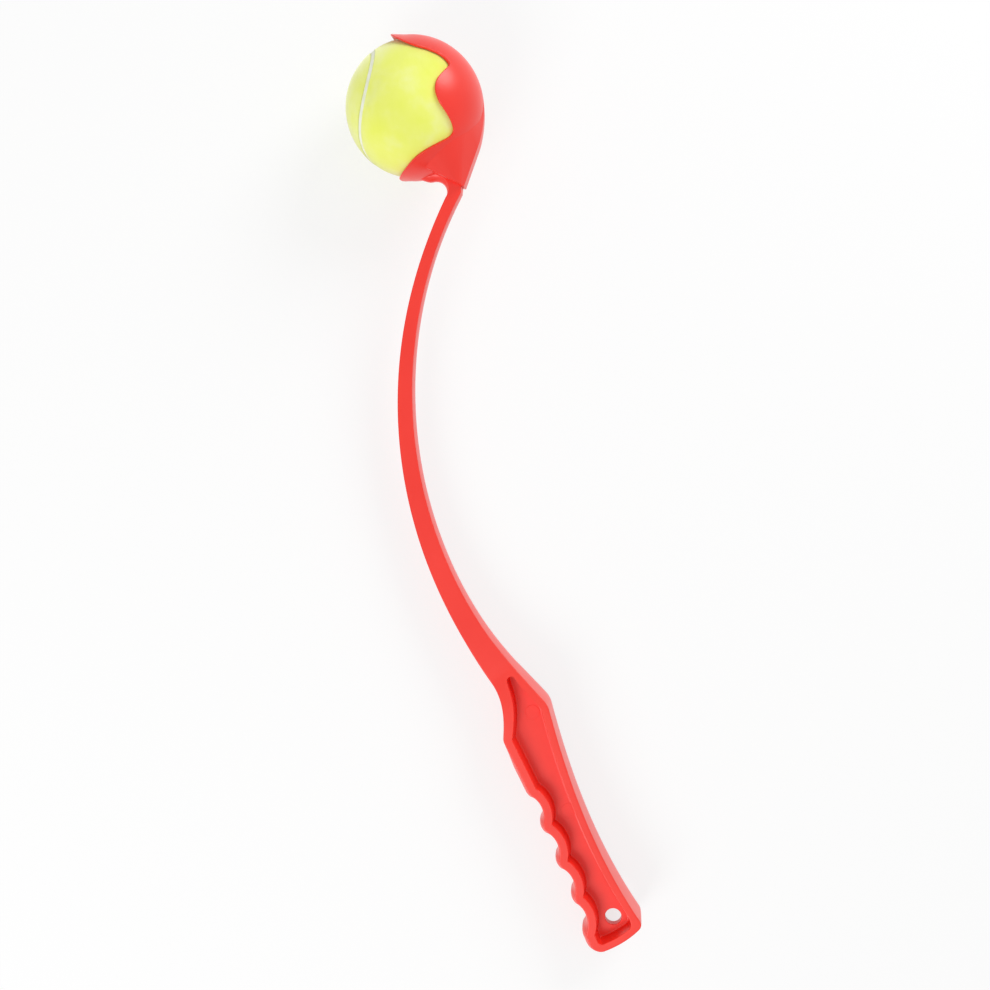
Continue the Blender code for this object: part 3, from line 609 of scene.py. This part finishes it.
def pocketOutline():
    h = handleSizes
    centre = handlePoint(*h["pocketTop"])
    backStart = h["pocketTop"][1] + h["pocketTopRound"]
    backEnd = h["toe"][1] - h["bottomRim"] - h["pocketCorner"]
    back = []
    for k in range(h["pocketBackSteps"] + 1):
        point, way = backPlace(backStart + (backEnd - backStart) * k / h["pocketBackSteps"])
        back.append(point - way * h["backRim"])
    bottom = []
    for k in range(h["pocketBottomSteps"]):
        point, way = bottomPlace(h["pocketBottomShare"] * (1 - k / h["pocketBottomSteps"]))
        bottom.append(point - way * h["bottomRim"])
    corner = meetingPoint(back[-1], back[-1] - back[-2], bottom[0], bottom[0] - bottom[1])
    count = h["pocketToeSteps"]
    toe = [bezier((back[-1], corner, bottom[0]), k / count) for k in range(1, count)]
    side = []
    for point, way, width, crown in grip:
        if handlePlace(point)[1] > backStart and (not side or (point - side[-1]).length > tiny):
            side.append(point)
    down = heading(h["heading"])
    firstWay, lastWay = -turnedLeft(down), turnedLeft((back[1] - back[0]).normalized())
    ways = [firstWay, *turnBetween(firstWay, -down, h["turnSteps"]), -down,
            *turnBetween(-down, lastWay, h["turnSteps"])]
    return [centre + way * h["pocketTopRound"] for way in ways] + back + toe + bottom + side[::-1]


def pocketCutter(name, side):
    h, e = handleSizes, edgeRound
    face, web, lip, steps = h["thickness"] / 2, h["web"] / 2, e["pocket"], e["steps"]
    levels = [(face + overrun, -lip * e["lipClear"]), (face + lip * e["lipRise"], -lip * e["lipReach"])]
    for k in range(steps, -1, -1):  # the rim's rounded inner edge
        turn = math.radians(e["lipTurn"] * k / steps)
        levels.append((face - lip + lip * math.sin(turn), -lip * (1 - math.cos(turn))))
    for k in range(h["filletSteps"] + 1):  # the fillet round the web
        turn = math.pi / 2 * k / h["filletSteps"]
        levels.append((web + h["fillet"] * (1 - math.sin(turn)),
                       h["draft"] + h["fillet"] * (1 - math.cos(turn))))
    outline = pocketOutline()
    rings = [[point + Vector((0, 0, side * up)) for point in inset(outline, distance)]
             for up, distance in levels]
    return newObject(name, loft(rings)[0])


def lathe(name, profile, place, sides=64):
    # Round solid about an upright axis, through (radius, height) pairs
    bm = bmesh.new()
    loops = []
    for radius, height in profile:
        loops.append([bm.verts.new(place + Vector((radius * math.cos(2 * math.pi * k / sides),
                                                   radius * math.sin(2 * math.pi * k / sides), height)))
                      for k in range(sides)])
    for lower, upper in zip(loops, loops[1:]):
        for k in range(sides):
            following = (k + 1) % sides
            bm.faces.new((lower[k], lower[following], upper[following], upper[k]))
    bm.faces.new(loops[0])
    bm.faces.new(loops[-1])
    return newObject(name, bm)


def holeCutter():
    h, e = handleSizes, edgeRound
    radius, web, lip, steps = h["hole"] / 2, h["web"] / 2, e["pocket"], e["steps"]
    upper = []
    for k in range(steps + 1):
        turn = math.radians(e["lipTurn"] * k / steps)
        upper.append((radius + lip * (1 - math.cos(turn)), web - lip + lip * math.sin(turn)))
    outer = radius + lip * e["lipReach"]
    upper += [(outer, web + lip * e["lipRise"]), (outer, web + lip * e["lipTop"])]
    profile = [(out, -up) for out, up in upper[::-1]] + upper
    return lathe("hangingHole", profile, handlePoint(*h["holePlace"]))


def pinMark(index):
    h = handleSizes
    radius, web, rise = h["pinMark"] / 2, h["web"] / 2, h["pinMarkHeight"]
    shoulder = h["pinMarkShoulder"]
    profile = ((radius, web - overrun), (radius, web + rise * shoulder),
               (radius - rise * (1 - shoulder), web + rise))
    return lathe("pinMark", profile, handlePoint(*h["pinMarks"][index]))


# The cup, its rim and its root

def exitWays():
    mouth = heading(cupSizes["mouth"])
    way = (mouth - floorWay * mouth.dot(floorWay)).normalized()
    return way, Vector((way.x, way.y, -way.z))


def cupDirection(turn, angle):
    mouth = heading(cupSizes["mouth"])
    turn, angle = math.radians(turn), math.radians(angle)
    outward = Vector((0, 0, math.cos(turn))) + turnedLeft(mouth) * math.sin(turn)
    return mouth * math.cos(angle) + outward * math.sin(angle)


def cupInner(way, exits):
    length = cupInside
    for out in exits:
        if way.dot(out) > 0:
            length = max(length, cupInside / way.cross(out).length)
    return length


def cupOuter(inside):
    return max(cupOutside, inside + cupSizes["lobeWall"])


def rimStop(index):
    # The cup's back mirrors its front
    half = len(cupSizes["rim"]) - 1
    rounds, place = divmod(index, 2 * half)
    turn, angle = cupSizes["rim"][min(place, 2 * half - place)]
    return Vector(((180 - turn if place > half else turn) + 360 * rounds, angle))


def rimPlace(share):
    place = share * 2 * (len(cupSizes["rim"]) - 1)
    index = math.floor(place)
    part = place - index
    before, start, end, after = [rimStop(index + step) for step in (-1, 0, 1, 2)]
    leave, arrive = (end - before) / 2, (after - start) / 2
    return (start * (1 + 2 * part) * (1 - part)**2 + end * part**2 * (3 - 2 * part)
            + leave * part * (1 - part)**2 - arrive * part**2 * (1 - part))


def cupShell():
    exits = exitWays()
    c = cupSizes
    columns = []
    for k in range(c["columns"]):
        turn, rim = rimPlace(k / c["columns"])
        outerStart = rim + math.degrees(c["outerRound"] / cupOutside)
        innerStart = rim + math.degrees(c["innerRound"] / cupInside)
        places = []
        for row in range(1, c["rows"] + 1):
            places.append((180 - (180 - outerStart) * row / c["rows"], 1, 0))
        for step in range(1, c["outerSteps"] + 1):
            bend = math.pi / 2 * step / c["outerSteps"]
            places.append((outerStart - math.degrees(c["outerRound"] * math.sin(bend) / cupOutside), 1,
                           -c["outerRound"] * (1 - math.cos(bend))))
        for step in range(c["innerSteps"] + 1):
            bend = math.pi / 2 * step / c["innerSteps"]
            places.append((rim + math.degrees(c["innerRound"] * (1 - math.cos(bend)) / cupInside), 0,
                           c["innerRound"] * (1 - math.sin(bend))))
        for row in range(c["rows"] - 1, 0, -1):
            places.append((180 - (180 - innerStart) * row / c["rows"], 0, 0))
        column = []
        for angle, outer, shift in places:
            way = cupDirection(turn, angle)
            inside = cupInner(way, exits)
            column.append(way * ((cupOuter(inside) if outer else inside) + shift))
        columns.append(column)
    bm = bmesh.new()
    back = -heading(c["mouth"])
    outerPole, innerPole = bm.verts.new(back * cupOutside), bm.verts.new(back * cupInside)
    loops = [[bm.verts.new(point) for point in column] for column in columns]
    for one, other in zip(loops, loops[1:] + loops[:1]):
        bm.faces.new((outerPole, one[0], other[0]))
        for k in range(len(one) - 1):
            bm.faces.new((one[k], one[k + 1], other[k + 1], other[k]))
        bm.faces.new((innerPole, other[-1], one[-1]))
    return newObject("cupShell", bm)


def gusset():
    # The cup's thick root: its faces run from the cup down to the neck
    a = armSizes
    neck = armStation(0)
    axis = heading(a["gussetHeading"])
    ringAngle = math.radians(a["gussetRing"])
    reach = cupOutside - a["gussetSink"]
    points = []
    for k in range(a["gussetSides"]):
        turn = 2 * math.pi * k / a["gussetSides"]
        spread = turnedLeft(axis) * math.cos(turn) + Vector((0, 0, math.sin(turn)))
        points.append((axis * math.cos(ringAngle) + spread * math.sin(ringAngle)) * reach)
    for k, (point, out) in enumerate(backBlend(neck["right"], a["gussetStep"])[:-1]):
        half = blendHalf(k, neck["half"] + a["gussetStep"])
        corner = min(edgeRound["outside"], half / 3)
        for step in range(a["gussetCornerSteps"] + 1):
            turn = math.pi / 2 * step / a["gussetCornerSteps"]
            place = point + out * (corner * (math.sin(turn) - 1))
            for side in (1, -1):
                points.append(place + Vector((0, 0, side * (half + corner * (math.cos(turn) - 1)))))
    bm = bmesh.new()
    for point in points:
        bm.verts.new(point)
    hull = bmesh.ops.convex_hull(bm, input=bm.verts)
    spare = {item for item in hull["geom_interior"] + hull["geom_unused"]
             if isinstance(item, bmesh.types.BMVert)}
    bmesh.ops.delete(bm, geom=list(spare), context="VERTS")
    below = turnedLeft(heading(a["creaseHeading"]))
    cut = bmesh.ops.bisect_plane(bm, geom=bm.verts[:] + bm.edges[:] + bm.faces[:], dist=tiny,
                                 plane_co=below * a["creaseReach"], plane_no=below, clear_outer=True)
    edges = [item for item in cut["geom_cut"] if isinstance(item, bmesh.types.BMEdge)]
    bmesh.ops.edgenet_fill(bm, edges=edges)
    return newObject("gusset", bm, sharpAngles["gusset"])


def ballSpace():
    bm = bmesh.new()
    bmesh.ops.create_icosphere(bm, subdivisions=5, radius=cupInside + cupSizes["wall"] / 2)
    return newObject("ballSpace", bm)


def thrower():
    body = bodyLoft()
    steps = ((gusset(), "UNION"), (ballSpace(), "DIFFERENCE"), (cupShell(), "UNION"),
             (pocketCutter("pocketFront", 1), "DIFFERENCE"), (pocketCutter("pocketBack", -1), "DIFFERENCE"),
             (holeCutter(), "DIFFERENCE"), (pinMark(0), "UNION"), (pinMark(1), "UNION"))
    for other, operation in steps:
        combine(body, other, operation)
    bpy.context.view_layer.update()
    shape = bpy.data.meshes.new_from_object(body.evaluated_get(bpy.context.evaluated_depsgraph_get()))
    for other, operation in steps:
        bpy.data.objects.remove(other, do_unlink=True)
    bpy.data.objects.remove(body, do_unlink=True)
    shape.transform(pose)
    shape.shade_smooth()
    shape.set_sharp_from_angle(angle=math.radians(sharpAngles["thrower"]))
    piece = bpy.data.objects.new("throwerMoulding", shape)
    bpy.context.collection.objects.link(piece)
    normals = piece.modifiers.new("evenNormals", "WEIGHTED_NORMAL")
    normals.keep_sharp = True
    bpy.context.view_layer.update()
    piece.data = bpy.data.meshes.new_from_object(piece.evaluated_get(bpy.context.evaluated_depsgraph_get()))
    piece.modifiers.clear()
    keepLevel(piece.data)
    return piece


def keepLevel(shape):
    # Faces that lie in the drawing's plane shade flat right up to their rounded edges
    up = pose.to_3x3() @ Vector((0, 0, 1))
    level = {}
    for face in shape.polygons:
        if abs(face.normal.dot(up)) > levelShare:
            for vertex in face.vertices:
                level.setdefault(vertex, []).append(face.normal.copy())
    normals = [normal.vector.copy() for normal in shape.corner_normals]
    for face in shape.polygons:
        for corner, vertex in zip(face.loop_indices, face.vertices):
            for flat in level.get(vertex, ()):
                if face.normal.dot(flat) > math.cos(math.radians(sharpAngles["level"])):
                    normals[corner] = flat
    shape.normals_split_custom_set(normals)


# The ball: two felt panels and the cement in the seam between them

def seamDirection(share):
    turn = 2 * math.pi * share
    minor = ballSizes["seamMinor"]
    major = 1 - minor
    return Vector((major * math.cos(turn) + minor * math.cos(3 * turn),
                   major * math.sin(turn) - minor * math.sin(3 * turn),
                   2 * math.sqrt(major * minor) * math.sin(2 * turn))).normalized()


def seamShares():
    steps = ballSizes["seamSteps"]
    fine = 12 * steps
    ways = [seamDirection(k / fine) for k in range(fine + 1)]
    travelled = [0]
    for one, other in zip(ways, ways[1:]):
        spin = math.radians((headingOf(other) - headingOf(one) + 180) % 360 - 180)
        travelled.append(travelled[-1] + math.hypot(spin, math.asin(other.z) - math.asin(one.z)))
    shares = []
    for k in range(fine):
        if travelled[k] >= travelled[-1] * len(shares) / steps:
            shares.append(k / fine)
    return shares


def seamSide(share):
    step = 1 / (8 * ballSizes["seamSteps"])
    along = seamDirection(share + step) - seamDirection(share - step)
    return seamDirection(share).cross(along).normalized()


def nap(point):
    # Height of the brushed wool over its backing, from tufts down to single fibres
    rise = sum(noise.noise(point * scale + Vector(shift)) * share
               for scale, share, shift in ballSizes["napLayers"])
    return ballSizes["napHeight"] * (rise - ballSizes["napSink"])


def feltPanel(name, side, shares):
    b = ballSizes
    pole = Vector((0, 0, side))
    groove = b["seam"] / 2 + b["gap"]
    bottom = (coreRadius + b["gap"]) / math.cos(math.radians(b["backLift"]))
    lead = b["edgeRound"] / b["radius"]
    bm = bmesh.new()
    outerPole = bm.verts.new(pole * (b["radius"] + nap(pole * b["radius"])))
    innerPole = bm.verts.new(pole * bottom)
    loops = []
    for share in shares:
        edge = (seamDirection(share) * b["radius"] + seamSide(share) * side * groove).normalized()
        angle = pole.angle(edge)
        axis = pole.cross(edge).normalized()
        column = []
        places = [((angle - lead) * ring / b["feltRings"], 0) for ring in range(1, b["feltRings"] + 1)]
        for step in range(1, b["edgeSteps"] + 1):
            bend = math.pi / 2 * step / b["edgeSteps"]
            places.append((angle - lead + lead * math.sin(bend), b["edgeRound"] * (1 - math.cos(bend))))
        for turn, drop in places:
            way = Matrix.Rotation(turn, 3, axis) @ pole
            column.append(way * (b["radius"] - drop + nap(way * b["radius"])))
        for ring in range(b["backRings"], 0, -1):
            column.append(Matrix.Rotation(angle * ring / b["backRings"], 3, axis) @ pole * bottom)
        loops.append([bm.verts.new(point) for point in column])
    for one, other in zip(loops, loops[1:] + loops[:1]):
        bm.faces.new((outerPole, one[0], other[0]))
        for k in range(len(one) - 1):
            bm.faces.new((one[k], one[k + 1], other[k + 1], other[k]))
        bm.faces.new((innerPole, other[-1], one[-1]))
    return newObject(name, bm, sharpAngles["felt"])


def seamBead(shares):
    b = ballSizes
    half, bottom, top = b["seam"] / 2, coreRadius + b["gap"], b["radius"] - b["seamRecess"]
    crown = half * b["seamCrown"]
    rings = []
    for share in shares:
        middle, side = seamDirection(share), seamSide(share)
        sag = b["napHeight"] * noise.noise(middle * b["sagScale"])
        ring = [middle * bottom - side * half, middle * bottom + side * half]
        for step in range(b["crownSteps"] + 1):
            bend = math.pi * step / b["crownSteps"]
            height = top - crown + sag + crown * math.sin(bend)
            ring.append(middle * height + side * half * math.cos(bend))
        rings.append(ring)
    bm, loops = loft(rings, cap=False)
    for k in range(len(loops[0])):
        following = (k + 1) % len(loops[0])
        bm.faces.new((loops[-1][k], loops[-1][following], loops[0][following], loops[0][k]))
    return newObject("seamCement", bm, sharpAngles["seam"])


def tennisBall():
    turn = Euler([math.radians(angle) for angle in ballSizes["turn"]]).to_matrix().to_4x4()
    shares = seamShares()
    pieces = [feltPanel("feltPanelOne", 1, shares), feltPanel("feltPanelTwo", -1, shares),
              seamBead(shares)]
    for piece in pieces:
        piece.data.transform(pose @ turn)
    for piece in pieces[:2]:
        evenFelt(piece.data)
    return pieces


def evenFelt(shape):
    # The wool shades as an even sphere, whatever way the panel's faces run
    middle = pose.translation
    low = ballSizes["radius"] - ballSizes["edgeRound"] / 2
    normals = [normal.vector.copy() for normal in shape.corner_normals]
    for corner, loop in enumerate(shape.loops):
        out = shape.vertices[loop.vertex_index].co - middle
        if out.length > low:
            normals[corner] = out.normalized()
    shape.normals_split_custom_set(normals)


# Materials, all procedural

def newMaterial(name, values):
    material = bpy.data.materials.new(name)
    material.use_nodes = True
    tree = material.node_tree
    shader = tree.nodes["Principled BSDF"]
    for socket, value in values.items():
        shader.inputs[socket].default_value = value
    return material, tree, shader


def noiseNode(tree, scale, detail=3, stretch=None):
    place = tree.nodes.new("ShaderNodeTexCoord").outputs["Object"]
    if stretch:
        mapping = tree.nodes.new("ShaderNodeMapping")
        mapping.inputs["Scale"].default_value = stretch
        tree.links.new(place, mapping.inputs["Vector"])
        place = mapping.outputs["Vector"]
    node = tree.nodes.new("ShaderNodeTexNoise")
    node.inputs["Scale"].default_value = scale
    node.inputs["Detail"].default_value = detail
    tree.links.new(place, node.inputs["Vector"])
    return node.outputs["Fac"]


def ramp(tree, source, stops):
    node = tree.nodes.new("ShaderNodeValToRGB")
    while len(node.color_ramp.elements) < len(stops):
        node.color_ramp.elements.new(0.5)
    for element, (place, colour) in zip(node.color_ramp.elements, stops):
        element.position = place
        element.color = (*colour, 1)
    tree.links.new(source, node.inputs["Fac"])
    return node.outputs["Color"]


def span(tree, source, low, high):
    node = tree.nodes.new("ShaderNodeMapRange")
    node.inputs["To Min"].default_value = low
    node.inputs["To Max"].default_value = high
    tree.links.new(source, node.inputs["Value"])
    return node.outputs["Result"]


def dress(tree, shader, look):
    # Mottled colours, and bumps of (scale, detail, stretch, strength, distance), the finest last
    colour = ramp(tree, noiseNode(tree, *look["mottle"]), look["colours"])
    tree.links.new(colour, shader.inputs["Base Color"])
    previous = None
    for scale, detail, stretch, strength, distance in look["bumps"]:
        node = tree.nodes.new("ShaderNodeBump")
        node.inputs["Strength"].default_value = strength
        node.inputs["Distance"].default_value = distance
        tree.links.new(noiseNode(tree, scale, detail, stretch), node.inputs["Height"])
        if previous:
            tree.links.new(previous, node.inputs["Normal"])
        previous = node.outputs["Normal"]
    tree.links.new(previous, shader.inputs["Normal"])


plasticLook = {
    "mottle": (28, 4),  # scale and detail
    "colours": ((0.35, (0.88, 0.029, 0.016)), (0.65, (0.92, 0.036, 0.021))),
    "smears": (160, 5),
    "gloss": (0.27, 0.36),  # lowest and highest roughness
    "bumps": ((60, 2, None, 0.10, 0.0004), (1600, 4, None, 0.05, 0.0002)),
}


def redPlastic():
    material, tree, shader = newMaterial("redPolypropylene", {"IOR": 1.49})
    dress(tree, shader, plasticLook)
    smears = noiseNode(tree, *plasticLook["smears"])
    tree.links.new(span(tree, smears, *plasticLook["gloss"]), shader.inputs["Roughness"])
    return material


feltLook = {
    "mottle": (75, 6),
    "colours": ((0.3, (0.88, 0.95, 0.14)), (0.5, (0.90, 0.96, 0.19)), (0.72, (0.92, 0.97, 0.33))),
    "bumps": ((700, 6, None, 0.22, 0.0003), (900, 3, (1, 5, 1), 0.15, 0.0002),
              (900, 3, (5, 1, 2), 0.15, 0.0002)),
    "sheen": 0.9,
    "sheenSpread": 0.45,
    "sheenTint": (1, 1, 0.9, 1),
}


def feltWool(name):
    material, tree, shader = newMaterial(name, {
        "Roughness": 0.95,
        "Sheen Weight": feltLook["sheen"],
        "Sheen Roughness": feltLook["sheenSpread"],
        "Sheen Tint": feltLook["sheenTint"],
        "Specular IOR Level": 0.2,
    })
    dress(tree, shader, feltLook)
    return material


cementLook = {
    "mottle": (260, 4),
    "colours": ((0.35, (0.86, 0.89, 0.66)), (0.7, (0.92, 0.94, 0.82))),
    "bumps": ((900, 4, None, 0.25, 0.0002),),
    "roughness": 0.55,
}


def seamCement():
    material, tree, shader = newMaterial("paleCement", {"Roughness": cementLook["roughness"]})
    dress(tree, shader, cementLook)
    return material


rubberLook = {
    "mottle": (400, 5),
    "colours": ((0.3, (0.012, 0.012, 0.012)), (0.7, (0.022, 0.022, 0.021))),
    "bumps": ((1500, 4, None, 0.3, 0.0002),),
    "roughness": 0.75,
}


def coreRubber():
    material, tree, shader = newMaterial("coreRubber", {"Roughness": rubberLook["roughness"]})
    dress(tree, shader, rubberLook)
    return material


# Building

piece = thrower()
piece.data.materials.clear()
piece.data.materials.append(redPlastic())
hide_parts("thrower_body")
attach(piece, "thrower")
print("thrower built:", len(piece.data.polygons), "faces")

wool = feltWool("yellowFelt")
feltOne, feltTwo, cement = tennisBall()
ballPieces = (
    (feltOne, wool, "felt_panel_a", "felt"),
    (feltTwo, wool, "felt_panel_b", "felt"),
    (cement, seamCement(), "ball_seam", "seam_cement"),
)
for piece, material, node, slotName in ballPieces:
    piece.data.materials.append(material)
    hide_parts(node)
    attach(piece, "ball")
rubber = coreRubber()
for name in ("core_half_a", "core_half_b"):
    for materialSlot in frame["nodes"][name].material_slots:
        materialSlot.material = rubber
print("ball built:", len(feltOne.data.polygons) * 2, "felt faces")


# Floor, light and camera

stageLook = {
    "floor": (0.92, 0.92, 0.92),
    "floorSize": 6,
    "floorDrop": 0.0003,
    "floorGlow": 0.75,  # how far the floor is white to the eye whatever light falls on it
    "worldFill": 0.5,
}
lamps = (  # name, place, size, power, colour
    ("keyPanel", (-0.75, -0.9, 0.9), 0.7, 9.6, (1, 1, 1)),
    ("sidePanel", (0.7, 1.0, 0.8), 0.8, 10.0, (1, 1, 1)),
)
cameraLook = {
    "lens": 48.909,
    "sensor": 36,
    "nearest": 0.01,
    "place": (0.099724, -0.148466, 0.65),  # over the flat drawing
    "turn": (-3.27655, 5.301, 0),
}


def stageFloor():
    bm = bmesh.new()
    bmesh.ops.create_grid(bm, x_segments=8, y_segments=8, size=stageLook["floorSize"])
    floor = newObject("floor", bm)
    floor.location.z = -stageLook["floorDrop"]
    material, tree, shader = newMaterial("paleFloor", {"Roughness": 0.9, "Specular IOR Level": 0.1,
                                                       "Base Color": (*stageLook["floor"], 1)})
    glow = tree.nodes.new("ShaderNodeEmission")
    glow.inputs["Strength"].default_value = 1
    mix = tree.nodes.new("ShaderNodeMixShader")
    seen = tree.nodes.new("ShaderNodeLightPath")
    either = tree.nodes.new("ShaderNodeMath")
    either.operation = "MAXIMUM"
    tree.links.new(seen.outputs["Is Camera Ray"], either.inputs[0])
    tree.links.new(seen.outputs["Is Glossy Ray"], either.inputs[1])
    share = tree.nodes.new("ShaderNodeMath")
    share.operation = "MULTIPLY"
    share.inputs[1].default_value = stageLook["floorGlow"]
    tree.links.new(either.outputs[0], share.inputs[0])
    tree.links.new(share.outputs[0], mix.inputs["Fac"])
    tree.links.new(shader.outputs["BSDF"], mix.inputs[1])
    tree.links.new(glow.outputs["Emission"], mix.inputs[2])
    tree.links.new(mix.outputs["Shader"], tree.nodes["Material Output"].inputs["Surface"])
    floor.data.materials.append(material)


def studioWorld():
    world = bpy.data.worlds.new("studio")
    world.use_nodes = True
    tree = world.node_tree
    seen = tree.nodes.new("ShaderNodeLightPath")
    last = seen.outputs["Is Camera Ray"]
    for name in ("Is Glossy Ray", "Is Transmission Ray"):
        either = tree.nodes.new("ShaderNodeMath")
        either.operation = "MAXIMUM"
        tree.links.new(last, either.inputs[0])
        tree.links.new(seen.outputs[name], either.inputs[1])
        last = either.outputs[0]
    strength = span(tree, last, stageLook["worldFill"], 1)
    tree.links.new(strength, tree.nodes["Background"].inputs["Strength"])
    tree.nodes["Background"].inputs["Color"].default_value = (1, 1, 1, 1)
    bpy.context.scene.world = world


def areaLamp(name, place, size, power, colour):
    lamp = bpy.data.lights.new(name, "AREA")
    lamp.shape = "DISK"
    lamp.size = size
    lamp.energy = power
    lamp.color = colour
    item = bpy.data.objects.new(name, lamp)
    item.location = place
    item.rotation_euler = (Vector((0, 0, 0)) - Vector(place)).to_track_quat("-Z", "Y").to_euler()
    bpy.context.collection.objects.link(item)


def viewCamera():
    data = bpy.data.cameras.new("camera")
    data.lens = cameraLook["lens"]
    data.sensor_width = cameraLook["sensor"]
    data.clip_start = cameraLook["nearest"]
    item = bpy.data.objects.new("camera", data)
    bpy.context.collection.objects.link(item)
    turn = Euler([math.radians(angle) for angle in cameraLook["turn"]]).to_matrix().to_4x4()
    item.matrix_world = pose @ Matrix.Translation(cameraLook["place"]) @ turn
    bpy.context.scene.camera = item


stageFloor()
studioWorld()
for lamp in lamps:
    areaLamp(*lamp)
viewCamera()
bpy.context.scene.view_settings.view_transform = "Standard"
print("floor, light and camera set")
